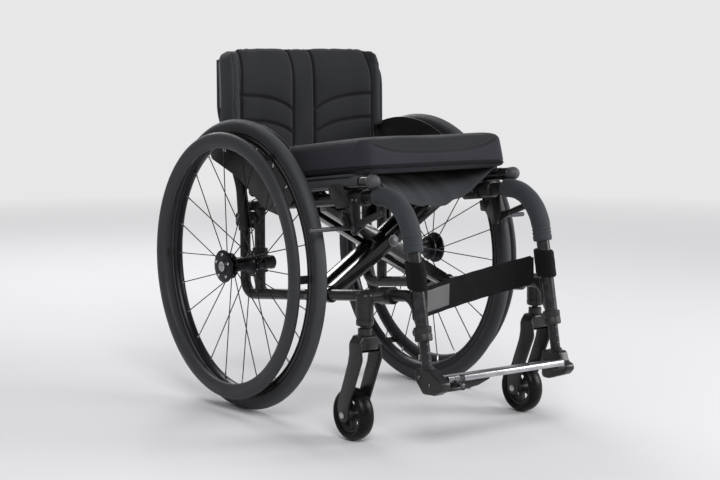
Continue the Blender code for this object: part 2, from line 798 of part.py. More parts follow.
def cross_pivot(name):
    """Bolt through the four arms, with a round head at each end."""
    shift = FRAME_X * math.tan(ARM_ANGLE) * math.sin(SLOPE)
    half = ARM_WIDTH / 2 * math.cos(SLOPE) + GAP
    rear = pivot_point(ARM_Y["b"][1] + half + shift)
    front = pivot_point(ARM_Y["a"][0] - half + shift)
    length = (front - rear).length
    profile = [
        (0, length + PIVOT_HEAD),
        (PIVOT_HEAD_RADIUS - 0.002, length + PIVOT_HEAD),
        (PIVOT_HEAD_RADIUS, length + PIVOT_HEAD - 0.002),
        (PIVOT_HEAD_RADIUS, length),
        (PIVOT_RADIUS, length),
        (PIVOT_RADIUS, 0),
        (PIVOT_HEAD_RADIUS, 0),
        (PIVOT_HEAD_RADIUS, 0.002 - PIVOT_HEAD),
        (PIVOT_HEAD_RADIUS - 0.002, -PIVOT_HEAD),
        (0, -PIVOT_HEAD),
    ]
    finish(lathe(name, profile, turned_to(rear, FORWARD), 20), name, "steel")


def axle_clamp(name, side):
    """Clamp on the upright with the boss that the quick-release axle plugs into."""
    x = side * FRAME_X
    ring = LOOP_RADIUS + CLAMP_WALL
    bore = LOOP_RADIUS + GAP
    half = CLAMP_HEIGHT / 2
    profile = [(ring - 0.001, half), (ring, half - 0.001), (ring, 0.001 - half), (ring - 0.001, -half)]
    profile += [(bore, -half), (bore, half)]
    collar = lathe(name, profile, Matrix.Translation(at(x, UPRIGHT_Y, AXLE_Z)), 20, True)
    start, end = BOSS_X
    hole = AXLE_RADIUS + RUN
    profile = [(BOSS_RADIUS, end - start), (BOSS_RADIUS, 0), (hole, 0), (hole, end - start)]
    place = turned_to(at(side * start, 0, AXLE_Z), side * ACROSS)
    boss = lathe(f"{name} boss", profile, place, 18, True)
    near, far = AXLE_RADIUS + 3 * RUN, UPRIGHT_Y - LOOP_RADIUS - CLAMP_WALL / 2
    place = Matrix.Translation(at(x, (near + far) / 2, AXLE_Z))
    web = block(f"{name} web", (0.011, far - near, 0.0257), place)
    finish(fuse(collar, web, boss), name, "frame")


def side_guard(name, side):
    """Thin guard beside the seat with a rolled top edge, on two standoffs."""
    x = side * GUARD_X
    centre = Vector((GUARD_BACK, AXLE_Z))
    angles = [math.radians(58 + 62 * i / 9) for i in range(10)]
    spokes = [Vector((-math.cos(a), math.sin(a))) for a in angles]
    arc = [centre + GUARD_ARC * spoke for spoke in spokes]
    outline = [arc[-1] + Vector((0, -0.044)), (0.055, 0.466), (-0.045, 0.409), (-0.105, 0.399), (-0.150, 0.440)]
    sheet = plate(name, outline + arc, GUARD_THICK, side_plane(x), 0.0005)
    under = [centre + (GUARD_ARC - 0.003) * spoke for spoke in reversed(spokes)]
    roll_x = side * (GUARD_X + (GUARD_ROLL - GUARD_THICK) / 2)
    roll = plate(f"{name} roll", arc + under, GUARD_ROLL, side_plane(roll_x), 0.0005)
    standoffs = []
    for label, y, z, start in (
        ("front", -0.085, sloped_z(-0.085, TOP_RISE), FRAME_X + MAIN_RADIUS + GAP),
        ("rear", *cane_crossing(centre, GUARD_ARC - 0.046), CANE_X + CANE_RADIUS + GAP),
    ):
        length = GUARD_X - start
        centre_x = side * (start + length / 2)
        place = Matrix.Translation(at(centre_x, y, z))
        standoffs.append(block(f"{name} {label}", (length, 0.016, 0.014), place, 0.0005))
    finish(fuse(sheet, roll, *standoffs), name, "plastic", at(x, centre.x, AXLE_Z + GUARD_ARC))


def cane_corners(x):
    """Corners of the back cane's centre line."""
    return [at(x, 0.061, 0.357), at(x, 0.070, 0.445), at(x, 0.143, 0.600), at(x, 0.143, CANE_TOP_Z)]


def cane_crossing(centre, reach):
    """Where the cane's sloping stretch crosses the circle of a radius round a point, seen from the side."""
    low, high = (Vector((point.y - AXLE_Y, point.z - LIFT)) for point in cane_corners(0)[1:3])
    return max(intersect_line_sphere_2d(low, high, centre, reach, False), key=lambda point: point.y)


def back_cane(name, side):
    """Bent tube that holds the back, on a plate bolted to the upright and the rear tube."""
    x = side * CANE_X
    cane = tube(name, rounded(cane_corners(x), [0.09, 0.07], 4), CANE_RADIUS)
    inner = FRAME_X + LOOP_RADIUS + GAP
    thick = 0.006
    outline = [(0.032, 0.362), (0.109, 0.362), (0.109, 0.386), (0.095, 0.396), (0.045, 0.396), (0.032, 0.386)]
    bridge = plate(f"{name} plate", outline, thick, side_plane(side * (inner + thick / 2)))
    bolts = []
    for y in (UPRIGHT_Y, REAR_TUBE_Y):
        start = at(side * (inner + thick - 0.001), y, 0.376)
        bolts.append(rod(f"{name} bolt {y}", start, start + Vector((side * 0.0045, 0, 0)), 0.005, 8))
    finish(fuse(cane, bridge, *bolts), name, "frame", cane_corners(x)[0])


def brake_clamp(name, side):
    """Ring on the top tube with the plate and pins of the wheel lock."""
    x = side * FRAME_X
    middle = sum(BRAKE_RING_Y) / 2
    front = sloped(x, BRAKE_RING_Y[0], TOP_RISE)
    rear = sloped(x, BRAKE_RING_Y[1], TOP_RISE)
    ring = rod(name, rear, front, MAIN_RADIUS + 0.004, 20)
    plate_x = side * BRAKE_PLATE_X
    outline = [
        (-0.3005, 0.452),
        (-0.3295, 0.455),
        (-0.333, 0.398),
        (-0.322, 0.380),
        (-0.310, 0.380),
        (-0.290, 0.403),
        (-0.272, 0.403),
        (-0.268, 0.424),
        (-0.3005, 0.427),
    ]
    cheek = plate(f"{name} plate", outline, BRAKE_PLATE, side_plane(plate_x))
    pins = []
    for label, (y, z) in (("tip", TIP_PIVOT), ("lever", LEVER_PIVOT)):
        start = at(plate_x, y, z)
        arm_end = BRAKE_PLATE / 2 + GAP + BRAKE_PLATE + GAP
        neck = start + Vector((side * (arm_end + 0.001), 0, 0))
        head = start + Vector((side * arm_end, 0, 0))
        pins.append(rod(f"{name} {label} pin", start, neck, BRAKE_PIN_RADIUS, 10))
        pins.append(rod(f"{name} {label} head", head, head + Vector((side * 0.002, 0, 0)), 0.0058, 10))
    bore_front = sloped(x, middle - 0.04, TOP_RISE)
    bore_rear = sloped(x, middle + 0.04, TOP_RISE)
    bore = rod(f"{name} bore", bore_rear, bore_front, MAIN_RADIUS + GAP)
    finish(cut(fuse(ring, cheek, *pins), bore), name, "frame")


def brake_arm_x(side):
    """The middle plane of the brake's two moving arms."""
    return side * (BRAKE_PLATE_X + BRAKE_PLATE + GAP)


def brake_lever(name, side):
    """Lever that the user pushes, with a round grip."""
    x = brake_arm_x(side)
    (y0, z0), (y1, z1) = LEVER_GRIP
    y, z = LEVER_PIVOT
    outline = [(y + 0.008, z - 0.008), (y + 0.009, z + 0.003), (y, z + 0.010), (y0, z0 + 0.006)]
    outline += [(y0 - 0.012, z0 + 0.008), (y0 - 0.008, z0 - 0.004), (y - 0.008, z - 0.008)]
    arm = plate(name, round_outline(outline, 0.002), BRAKE_PLATE, side_plane(x))
    grip_x = x + side * 0.0065
    grip = rod(f"{name} grip", at(grip_x, y0, z0), at(grip_x, y1, z1), LEVER_GRIP_RADIUS, 12)
    pivot = at(x, y, z)
    reach = Vector((side * 0.01, 0, 0))
    hole = rod(f"{name} hole", pivot - reach, pivot + reach, BRAKE_PIN_RADIUS + GAP)
    finish(cut(fuse(arm, grip), hole), name, "plastic", pivot)


def brake_tip(name, side):
    """Arm with the rod that presses on the tyre."""
    x = brake_arm_x(side)
    y, z = TIP_PIVOT
    rod_y, rod_z = TIP_ROD
    outline = [(y - 0.006, z + 0.006), (y + 0.005, z + 0.006), (y + 0.007, z - 0.004)]
    outline += [(rod_y + 0.007, rod_z - 0.003), (rod_y, rod_z - 0.006), (rod_y - 0.006, rod_z - 0.001)]
    outline.append((rod_y - 0.004, rod_z + 0.006))
    arm = plate(name, round_outline(outline, 0.002), BRAKE_PLATE, side_plane(x))
    bar = rod(f"{name} rod", at(x, rod_y, rod_z), at(side * TIP_ROD_END_X, rod_y, rod_z), TIP_ROD_RADIUS, 12)
    pivot = at(x, y, z)
    reach = Vector((side * 0.01, 0, 0))
    hole = rod(f"{name} hole", pivot - reach, pivot + reach, BRAKE_PIN_RADIUS + GAP)
    finish(cut(fuse(arm, bar), hole), name, "steel", pivot)


def wheel_frame(side):
    """The frame at a rear wheel's middle, with z outwards."""
    return turned_to(at(side * WHEEL_X, 0, AXLE_Z), side * ACROSS)


def tyre(name, side):
    """Pneumatic tyre with a round crown."""
    half = TYRE_WIDTH / 2
    bead = TYRE_RADIUS - TYRE_DEPTH
    profile = [
        (bead, RIM_WIDTH / 2 - 0.001),
        (bead + 0.012, half),
        (TYRE_RADIUS - 0.006, half - 0.004),
        (TYRE_RADIUS - 0.0015, half - 0.0085),
        (TYRE_RADIUS, 0),
    ]
    profile += [(radius, -height) for radius, height in reversed(profile[:-1])]
    finish(lathe(name, profile, wheel_frame(side), WHEEL_STEPS, True), name, "rubber")


def rim(name, side):
    """Wheel rim of a deep tapered section."""
    half = RIM_WIDTH / 2
    inner = RIM_RADIUS - RIM_DEPTH
    profile = [(RIM_RADIUS, half), (RIM_RADIUS, -half), (inner + 0.006, -half), (inner, -0.005), (inner, 0.005)]
    profile.append((inner + 0.006, half))
    finish(lathe(name, profile, wheel_frame(side), WHEEL_STEPS, True), name, "frame")


def handrim(name, side):
    """Oval push ring on tabs that stop at the rim."""
    middle = HANDRIM_RADIUS - HANDRIM_DEPTH / 2
    offset = HANDRIM_X - WHEEL_X
    profile = []
    for step in range(8):
        angle = math.pi / 2 - math.tau * step / 8
        radius = middle + HANDRIM_DEPTH / 2 * math.cos(angle)
        profile.append((radius, offset + HANDRIM_WIDTH / 2 * math.sin(angle)))
    widest = max(radius for radius, height in profile)
    profile = [(radius + HANDRIM_RADIUS - widest, height) for radius, height in profile]
    ring = lathe(name, profile, wheel_frame(side), WHEEL_STEPS, True)
    start = RIM_WIDTH / 2 + GAP
    length = offset - start
    radius = RIM_RADIUS - RIM_DEPTH / 2
    tabs = []
    for tab in range(HANDRIM_TABS):
        turn = Matrix.Rotation(math.tau * (tab + 0.5) / HANDRIM_TABS, 4, "Z")
        place = wheel_frame(side) @ turn @ Matrix.Translation((radius, 0, start + length / 2))
        tabs.append(block(f"{name} tab {tab}", (0.004, 0.016, length), place, 0))
    finish(fuse(ring, *tabs), name, "frame")


def hub(name, side):
    """Hub with two spoke flanges, an outer cap and thin spokes that stop at the rim."""
    cap = HUB_CAP_X - WHEEL_X
    outer, inner = (x - WHEEL_X for x in FLANGE_X)
    bore = AXLE_RADIUS + RUN
    end = inner - 0.022
    profile = [
        (bore, cap),
        (HUB_CAP_RADIUS - 0.006, cap),
        (HUB_CAP_RADIUS, cap - 0.002),
        (HUB_CAP_RADIUS, cap - 0.005),
        (HUB_RADIUS + 0.004, cap - 0.009),
        (HUB_RADIUS, outer + 0.006),
        (FLANGE_RADIUS, outer + 0.002),
        (FLANGE_RADIUS, outer - 0.002),
        (HUB_RADIUS, outer - 0.006),
        (HUB_RADIUS, inner + 0.006),
        (FLANGE_RADIUS, inner + 0.002),
        (FLANGE_RADIUS, inner - 0.002),
        (HUB_RADIUS, inner - 0.006),
        (HUB_RADIUS - 0.002, end),
        (bore, end),
    ]
    body = lathe(name, profile, wheel_frame(side), 16, True)
    paths = []
    for spoke in range(SPOKES):
        at_rim = math.tau * spoke / SPOKES
        flange, sweep = (outer, SPOKE_SWEEP) if spoke % 2 else (inner, -SPOKE_SWEEP)
        at_hub = at_rim + math.radians(sweep)
        start = Vector((math.cos(at_hub), math.sin(at_hub), 0)) * (FLANGE_RADIUS - 0.004)
        rim_radius = RIM_RADIUS - RIM_DEPTH - 2 * GAP
        stop = Vector((math.cos(at_rim), math.sin(at_rim), 0)) * rim_radius
        paths.append([start + Vector((0, 0, flange)), stop])
    spokes = tubes(f"{name} spokes", paths, SPOKE_RADIUS, 0, wheel_frame(side))
    finish(fuse(body, spokes), name, "frame")


def axle(name, side):
    """Quick-release axle through the hub, with the bore of its push button."""
    tip = at(side * AXLE_TIP_X, 0, AXLE_Z)
    head = HUB_CAP_X - AXLE_TIP_X + GAP
    end = head + 0.0025
    depth = 0.0035 + BUTTON_TRAVEL + 0.006
    bore = BUTTON_RADIUS + GAP
    profile = [
        (bore, end),
        (0.0095, end),
        (0.0105, end - 0.001),
        (0.0105, head),
        (AXLE_RADIUS, head),
        (AXLE_RADIUS, 0.0015),
        (AXLE_RADIUS - 0.0015, 0),
        (0, 0),
        (0, end - depth),
        (bore, end - depth),
    ]
    finish(lathe(name, profile + profile[:1], turned_to(tip, side * ACROSS), 16), name, "steel")


def release_button(name, side):
    """Push button in the end of the axle."""
    outer_end = HUB_CAP_X + GAP + 0.0025 + BUTTON_TRAVEL / 2
    start = at(side * (outer_end - 0.0095), 0, AXLE_Z)
    finish(rod(name, start, at(side * outer_end, 0, AXLE_Z), BUTTON_RADIUS, 16), name, "bright")


def caster_head(name, side):
    """Barrel of the caster's stem, on an arm clamped to the lower tube."""
    low = at(side * CASTER_X, CASTER_Y, BARREL_Z[0])
    height = BARREL_Z[1] - BARREL_Z[0]
    profile = [
        (0, height),
        (BARREL_RADIUS - 0.005, height),
        (BARREL_RADIUS, height - 0.004),
        (BARREL_RADIUS, 0.002),
        (BARREL_RADIUS - 0.002, 0),
        (0, 0),
    ]
    barrel = lathe(name, profile, Matrix.Translation(low))
    x = side * FRAME_X
    ring_radius = LOOP_RADIUS + 0.0055
    ring = rod(f"{name} ring", sloped(x, CASTER_Y + 0.018), sloped(x, CASTER_Y - 0.018), ring_radius, 20)
    arm_length = CASTER_X - FRAME_X - 0.018
    arm_centre = (CASTER_X + FRAME_X) / 2
    place = Matrix.Translation(sloped(side * arm_centre, CASTER_Y))
    arm = block(f"{name} arm", (arm_length, 0.026, 0.024), place, 0.003)
    tube_bore = rod(f"{name} tube", sloped(x, CASTER_Y + 0.04), sloped(x, CASTER_Y - 0.04), LOOP_RADIUS + GAP)
    stem_top = low + Vector((0, 0, height - 0.006))
    stem_bore = rod(f"{name} stem", low - Vector((0, 0, 0.01)), stem_top, STEM_RADIUS + RUN)
    finish(cut(fuse(barrel, ring, arm), tube_bore, stem_bore), name, "frame")


def caster_fork(name, side):
    """Crown with its stem and two flat blades that lean back to the wheel."""
    foot = at(side * CASTER_X, CASTER_Y, CROWN_Z[0])
    thick = CROWN_Z[1] - CROWN_Z[0]
    stem_top = BARREL_Z[1] - 0.008 - CROWN_Z[0]
    profile = [
        (0, stem_top),
        (STEM_RADIUS, stem_top),
        (STEM_RADIUS, BARREL_Z[0] - 0.004 - CROWN_Z[0]),
        (0.013, BARREL_Z[0] - 0.0045 - CROWN_Z[0]),
        (0.013, thick - 0.004),
        (0, thick - 0.004),
    ]
    stem = lathe(name, profile, Matrix.Translation(foot), 20)
    half = FORK_INNER + FORK_BLADE
    crown_outline = [(-half, 0.004), (half, 0.004), (half, thick - 0.012), (half - 0.012, thick)]
    crown_outline += [(-half + 0.012, thick), (-half, thick - 0.012)]
    crown = plate(f"{name} crown", crown_outline, 0.034, axes(foot, ACROSS, Vector((0, 0, 1))), 0.002)
    wheel_y = CASTER_Y + CASTER_TRAIL
    wheel_z = CASTER_RADIUS - LIFT
    outline = [
        (CASTER_Y - 0.0175, CROWN_Z[0] + 0.022),
        (CASTER_Y - 0.0225, CROWN_Z[0] - 0.010),
        (wheel_y - 0.0165, wheel_z + 0.018),
        (wheel_y - 0.013, wheel_z - 0.013),
        (wheel_y + 0.013, wheel_z - 0.013),
        (wheel_y + 0.0185, wheel_z + 0.018),
        (CASTER_Y + 0.0205, CROWN_Z[0] - 0.020),
        (CASTER_Y + 0.0165, CROWN_Z[0] - 0.002),
        (CASTER_Y + 0.0165, CROWN_Z[0] + 0.022),
    ]
    outline = round_outline(outline, 0.007, 2)
    blades = []
    for label, way in (("inner", -1), ("outer", 1)):
        blade_x = side * CASTER_X + way * (FORK_INNER + FORK_BLADE / 2)
        blades.append(plate(f"{name} {label}", outline, FORK_BLADE, side_plane(blade_x)))
    reach = Vector((half + 0.01, 0, 0))
    wheel = at(side * CASTER_X, wheel_y, wheel_z)
    hole = rod(f"{name} hole", wheel - reach, wheel + reach, CASTER_AXLE_RADIUS + GAP)
    finish(cut(fuse(stem, crown, *blades), hole), name, "frame")


def caster_frame(side):
    """The frame at a caster wheel's middle, with z across the chair."""
    return turned_to(at(side * CASTER_X, CASTER_Y + CASTER_TRAIL, CASTER_RADIUS - LIFT), ACROSS)


def caster_tyre(name, side):
    """Soft round tyre of a caster."""
    half = CASTER_WIDTH / 2
    bead = CASTER_HUB_RADIUS + GAP
    profile = [(bead, half - 0.005), (bead + 0.004, half - 0.0015), (bead + 0.008, half - 0.002)]
    profile += [(CASTER_RADIUS - 0.004, half - 0.0075), (CASTER_RADIUS, 0)]
    profile += [(radius, -height) for radius, height in reversed(profile[:-1])]
    finish(lathe(name, profile, caster_frame(side), CASTER_STEPS, True), name, "rubber")


def caster_hub(name, side):
    """Caster's centre with five windows between its spokes."""
    half = CASTER_WIDTH / 2 - 0.006
    bore = CASTER_AXLE_RADIUS + RUN
    boss = FORK_INNER - GAP
    profile = [
        (bore, boss),
        (0.009, boss),
        (0.0105, half - 0.004),
        (CASTER_HUB_RADIUS - 0.005, half - 0.004),
        (CASTER_HUB_RADIUS - 0.003, half),
        (CASTER_HUB_RADIUS, half),
    ]
    profile += [(radius, -height) for radius, height in reversed(profile)]
    body = lathe(name, profile, caster_frame(side), CASTER_STEPS, True)
    windows = []
    for window in range(5):
        turn = Matrix.Rotation(math.tau * window / 5, 4, "Z")
        place = caster_frame(side) @ turn @ Matrix.Translation((0.0198, 0, 0))
        windows.append(block(f"{name} window {window}", (0.0125, 0.0155, 0.06), place, 0))
    finish(cut(body, *windows), name, "plastic")


def caster_axle(name, side):
    """Bolt through the fork's blades."""
    half = FORK_INNER + FORK_BLADE + GAP
    head = half + 0.003
    profile = [(0, head), (0.0065, head - 0.0005), (0.0065, half), (CASTER_AXLE_RADIUS, half)]
    profile += [(radius, -height) for radius, height in reversed(profile)]
    finish(lathe(name, profile, caster_frame(side), 12), name, "steel")


def seat_cushion(name):
    """Flat foam cushion."""
    half = CUSHION_DEPTH / 2 / math.cos(SLOPE)
    rise = CUSHION_RISE + CUSHION_THICK / 2
    middle = sloped(0, CUSHION_FRONT_Y, rise) - FORWARD * half
    size = (CUSHION_WIDTH, 2 * half, CUSHION_THICK)
    cushion = block(name, size, axes(middle, ACROSS, -FORWARD), 0.012)
    finish(cushion, name, "fabric")


def seat_sling(name):
    """Slack fabric over the two rails, hanging lowest at the front edge."""
    hem = (RAIL_X - RAIL_RADIUS - 0.004) / SLING_HALF
    across = np.concatenate([[-1], np.linspace(-hem, hem, 13), [1]])
    rear, front = RAIL_REAR_Y, CAP_REAR_Y + CAP_RADIUS * math.tan(SLOPE) + 4 * GAP
    along = np.linspace(0, 1, 5)
    share, line = np.meshgrid(across, along)
    sag = SLING_SAG_REAR + (SLING_SAG_FRONT - SLING_SAG_REAR) * line**8
    drop = sag * np.clip(1 - (share / hem) ** 2, 0, 1) ** 1.1
    on_rail = abs(share) > 0.999 * hem
    low = RAIL_RISE + RAIL_RADIUS + GAP
    thick = np.where(on_rail, CUSHION_RISE - GAP - low, SLING_THICK)
    top_rise = np.where(on_rail, CUSHION_RISE - GAP, low + SLING_THICK) - drop
    grids = []
    for rise in (top_rise, top_rise - thick):
        y = rear + (front - rear) * line
        z = sloped_z(0) - y * math.tan(SLOPE) + rise / math.cos(SLOPE)
        grids.append(np.stack([share * SLING_HALF, y + AXLE_Y, z + LIFT], axis=-1))
    sling = slab(name, *grids)
    finish(sling, name, "fabric", sloped(RAIL_X, 0, RAIL_RISE))


def back_upholstery(name):
    """Hollowed back with side flaps that the canes run up into."""
    across = np.linspace(-1, 1, 9)
    up = np.linspace(0, 1, 6)
    share, line = np.meshgrid(across, up)
    z = BACK_Z[0] + (BACK_Z[1] - BACK_Z[0]) * line
    roll = np.clip((z - 0.665) / (BACK_Z[1] - 0.665), 0, 1) ** 2
    front = 0.112 - 0.026 * np.abs(share) ** 2.2 + roll * (0.020 + 0.006 * np.abs(share))
    x = share * (CANE_X - CANE_RADIUS - 0.002)
    near = np.stack([x, front + AXLE_Y, z + LIFT], axis=-1)
    far = near + np.array([0, BACK_THICK, 0])
    back = slab(name, near, far)
    flaps = []
    bores = []
    for side in (-1, 1):
        size = (FLAP_X[1] - FLAP_X[0], FLAP_Y[1] - FLAP_Y[0], BACK_Z[1] - 0.004 - 0.600)
        middle = at(side * sum(FLAP_X) / 2, sum(FLAP_Y) / 2, (BACK_Z[1] - 0.004 + 0.600) / 2)
        flaps.append(block(f"{name} flap {side}", size, Matrix.Translation(middle), 0.004))
        corners = cane_corners(side * CANE_X)
        path = rounded(corners, [0.09, 0.07], 4)
        path[-1] = path[-1] + Vector((0, 0, 0.003))
        bores.append(tube(f"{name} bore {side}", path, CANE_RADIUS + 2 * GAP))
    cut(fuse(back, *flaps), *bores)
    finish(back, name, "fabric", cane_corners(-CANE_X)[-1])


def calf_strap(name):
    """Band behind the calves, with a padded loop round each leg."""
    across = np.linspace(-1, 1, 13)
    up = np.array([-1, 1])
    share, line = np.meshgrid(across, up)
    reach = FRAME_X - MAIN_RADIUS - GAP - 0.0015
    level = 0.296 + 0.012 * share - 0.020 * np.exp(-(((share + 0.72) / 0.2) ** 2))
    x = share * reach
    y = LOOP_BLOCK_Y + 0.007 + 0.022 * (1 - share**2)
    z = level + line * STRAP_HALF_HEIGHT * np.where(abs(share) > 0.99, 0.8, 1)
    near = np.stack([x, y + AXLE_Y, z + LIFT], axis=-1)
    far = near + np.array([0, STRAP_THICK, 0])
    band = slab(name, near, far)
    loops = []
    bores = []
    for side in (-1, 1):
        middle = at(side * FRAME_X, LOOP_BLOCK_Y, LOOP_BLOCK_Z)
        loops.append(block(f"{name} loop {side}", LOOP_BLOCK, Matrix.Translation(middle), 0.008))
        low, high = on_leg(side * FRAME_X, 0.24), on_leg(side * FRAME_X, 0.37)
        bores.append(rod(f"{name} bore {side}", low, high, MAIN_RADIUS + GAP))
    cut(fuse(band, *loops), *bores)
    finish(band, name, "fabric", on_leg(-FRAME_X, LOOP_BLOCK_Z))


EACH_SIDE = (
    side_frame,
    leg_sleeve,
    foot_collar,
    foot_tube,
    seat_rail,
    rail_cap,
    rail_saddle,
    axle_clamp,
    side_guard,
    back_cane,
    brake_clamp,
    brake_lever,
    brake_tip,
    tyre,
    rim,
    handrim,
    hub,
    axle,
    release_button,
    caster_head,
    caster_fork,
    caster_tyre,
    caster_hub,
    caster_axle,
)
MIDDLE = (
    footplate,
    footplate_hinge,
    cross_pivot,
    seat_cushion,
    seat_sling,
    back_upholstery,
    calf_strap,
)


def main():
    """Clears the scene and builds every part."""
    for obj in list(bpy.data.objects):
        bpy.data.objects.remove(obj)
    for label in ("wheelchair", "construction"):
        group = bpy.data.collections.new(label)
        bpy.context.scene.collection.children.link(group)
    bpy.data.collections["construction"].hide_render = True
    for word, side in SIDES.items():
        for build in EACH_SIDE:
            build(f"{word}_{build.__name__}", side)
    foot_bracket_right("right_foot_bracket")
    foot_bracket_left("left_foot_bracket")
    cross_frame("cross_frame_a", "a", SIDES["right"])
    cross_frame("cross_frame_b", "b", SIDES["left"])
    for build in MIDDLE:
        build(build.__name__)


main()
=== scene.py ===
"""Finished surfaces of a folding active wheelchair, built around its frame.

Metres, +Z up, the chair faces -Y, and +X is the occupant's left. A y value below is measured from the
rear axle, and at() moves it into the model. A side is -1 for the occupant's right and +1 for the left.
"""

import math

import bpy
import numpy as np
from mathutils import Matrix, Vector


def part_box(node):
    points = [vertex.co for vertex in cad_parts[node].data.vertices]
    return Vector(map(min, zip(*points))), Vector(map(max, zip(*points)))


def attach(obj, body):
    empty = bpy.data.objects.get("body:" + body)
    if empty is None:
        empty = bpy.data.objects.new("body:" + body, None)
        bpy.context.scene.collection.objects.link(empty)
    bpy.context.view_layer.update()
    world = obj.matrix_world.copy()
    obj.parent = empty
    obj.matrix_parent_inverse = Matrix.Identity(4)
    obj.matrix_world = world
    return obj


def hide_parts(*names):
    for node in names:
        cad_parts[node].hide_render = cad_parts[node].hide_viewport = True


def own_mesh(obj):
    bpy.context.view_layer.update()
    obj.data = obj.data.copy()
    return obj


bl_info = {
    "name": "Folding Active Wheelchair",
    "version": (1, 0, 0),
    "blender": (4, 5, 0),
    "location": "View3D > Sidebar > Wheelchair",
    "description": "Builds the finished surfaces of a folding active wheelchair around its frame",
    "category": "Add Mesh",
}

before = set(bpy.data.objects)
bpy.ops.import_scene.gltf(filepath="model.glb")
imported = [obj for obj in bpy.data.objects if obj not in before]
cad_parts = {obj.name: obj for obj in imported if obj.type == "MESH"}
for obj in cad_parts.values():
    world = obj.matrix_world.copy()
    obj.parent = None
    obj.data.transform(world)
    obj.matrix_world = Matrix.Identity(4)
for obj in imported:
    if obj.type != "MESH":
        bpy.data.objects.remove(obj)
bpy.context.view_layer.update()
TYRE_LOW, TYRE_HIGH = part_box("left_tyre")

SIDES = {"right": -1, "left": 1}
ACROSS = np.array([1.0, 0.0, 0.0])
BACK = np.array([0.0, 1.0, 0.0])
UP = np.array([0.0, 0.0, 1.0])

# The tubes' slope and the leg's lean, with the directions along each and square to it
SLOPE = math.radians(6.5)
LEAN = math.radians(11)
FORWARD = np.array([0.0, -math.cos(SLOPE), math.sin(SLOPE)])
RISE = np.array([0.0, math.sin(SLOPE), math.cos(SLOPE)])
LEG_UP = np.array([0.0, math.sin(LEAN), math.cos(LEAN)])
TOE = np.array([0.0, -math.cos(LEAN), math.sin(LEAN)])

# Clearance between two parts that nearly touch
GAP = 0.0003

# Places that the pieces share, as the frame has them
AXLE_Y = (TYRE_LOW.y + TYRE_HIGH.y) / 2
AXLE_Z = (TYRE_LOW.z + TYRE_HIGH.z) / 2
WHEEL_X = (TYRE_LOW.x + TYRE_HIGH.x) / 2
FRAME_X = 0.158
LOWER_Y, LOWER_Z = -0.243, 0.256
TOP_RISE = 0.1849
MAIN_RADIUS = 0.0125
LOOP_RADIUS = 0.011
LEG_Y, LEG_Z = -0.475, 0.363
LEG_BOTTOM_Z = 0.207
UPRIGHT_Y, REAR_TUBE_Y = 0.042, 0.099
BEND_RADIUS = 0.09
RAIL_X, RAIL_RISE, RAIL_RADIUS = 0.172, 0.2134, 0.011
CANE_X, CANE_RADIUS = 0.185, 0.011
PLATE_Y, PLATE_Z = -0.538, 0.135
PLATE_THICK = 0.012
HINGE_X, HINGE_DROP = -0.1175, 0.0145
CASTER_X, CASTER_Y = 0.211, -0.397
CASTER_TRAIL, CASTER_RADIUS = 0.036, 0.05
TIP_PIVOT, TIP_ROD = (-0.281, 0.415), (-0.2985, 0.393)
LEVER_PIVOT = (-0.318, 0.392)
BRAKE_CHEEK_X, BRAKE_ARM_X, TIP_END_X = 0.1745, 0.1788, 0.265
CLAMP_RADIUS = 0.0165
FOOT_TUBE_RADIUS, FOOT_TUBE_LOW_Z, FOOT_TUBE_HIGH_Z = 0.0095, 0.138, 0.302
PLATE_HALF = 0.034
ARM_HALF = 0.01225
AXLE_TIP_X, HUB_CAP_X = 0.15, 0.2755
GUARD_X, GUARD_ARC, GUARD_BACK = 0.2, 0.289, 0.02
ARM_ANGLE = math.radians(31)
CROSS_A_FRONT, CROSS_B_REAR, CROSS_STEP = -0.205, -0.127, 0.052


def unit(vector):
    """The vector, or each of many, at length one."""
    vector = np.asarray(vector, float)
    return vector / np.linalg.norm(vector, axis=-1, keepdims=True)


def whole_turn(count):
    """Angles at even steps all the way round, the first one zero."""
    return np.arange(count) * math.tau / count


def at(x, y, z):
    """A point of the model, or an array of them, from y measured from the rear axle."""
    return np.stack(np.broadcast_arrays(x, y + AXLE_Y, z), axis=-1)


def sloped(x, y, rise=0.0):
    """The point at x and y on the line that runs square above the lower tube by rise."""
    return at(x, y, LOWER_Z + (LOWER_Y - y) * math.tan(SLOPE) + rise / math.cos(SLOPE))


def on_leg(x, z):
    """The point of the leg's centre line at height z."""
    return at(x, LEG_Y - (LEG_Z - z) * math.tan(LEAN), z)


def frame_corner(x):
    """Where the centre lines of the top tube and the leg meet."""
    lean, tilt = math.tan(LEAN), math.tan(SLOPE)
    rise = LOWER_Z + LOWER_Y * tilt + TOP_RISE / math.cos(SLOPE)
    return sloped(x, (LEG_Y + (rise - LEG_Z) * lean) / (1 + tilt * lean), TOP_RISE)


def plate_point(x, s, rise=0.0):
    """A point s towards the toes from the footplate's middle, and rise above it."""
    return at(x, PLATE_Y, PLATE_Z) + s * TOE + rise * LEG_UP


def side_view(x):
    """Place for outlines drawn in y and z, seen from the side."""
    return np.array([x, AXLE_Y, 0.0]), BACK, UP


class Shell:
    """Part of a surface: points, quads with a UV pair at each corner, and rings of points that close it."""

    def __init__(self, points, quads, uv, rings):
        self.points, self.quads, self.uv, self.rings = points, quads, uv, list(rings)

    def volume(self):
        """Sum of a . (b x c) / 6 over the faces' triangles: below zero when the shell is inside out."""
        a, b, c, d = (self.points[self.quads[:, k]] for k in range(4))
        total = (a * (np.cross(b, c) + np.cross(c, d))).sum()
        for ring in self.rings:
            fan = self.points[ring]
            total += (fan[0] * np.cross(fan[1:-1], fan[2:])).sum()
        return total / 6

    def outward(self):
        """The shell with its faces turned out."""
        if self.volume() < 0:
            self.quads, self.uv = self.quads[:, ::-1], self.uv[:, ::-1]
            self.rings = [ring[::-1] for ring in self.rings]
        return self


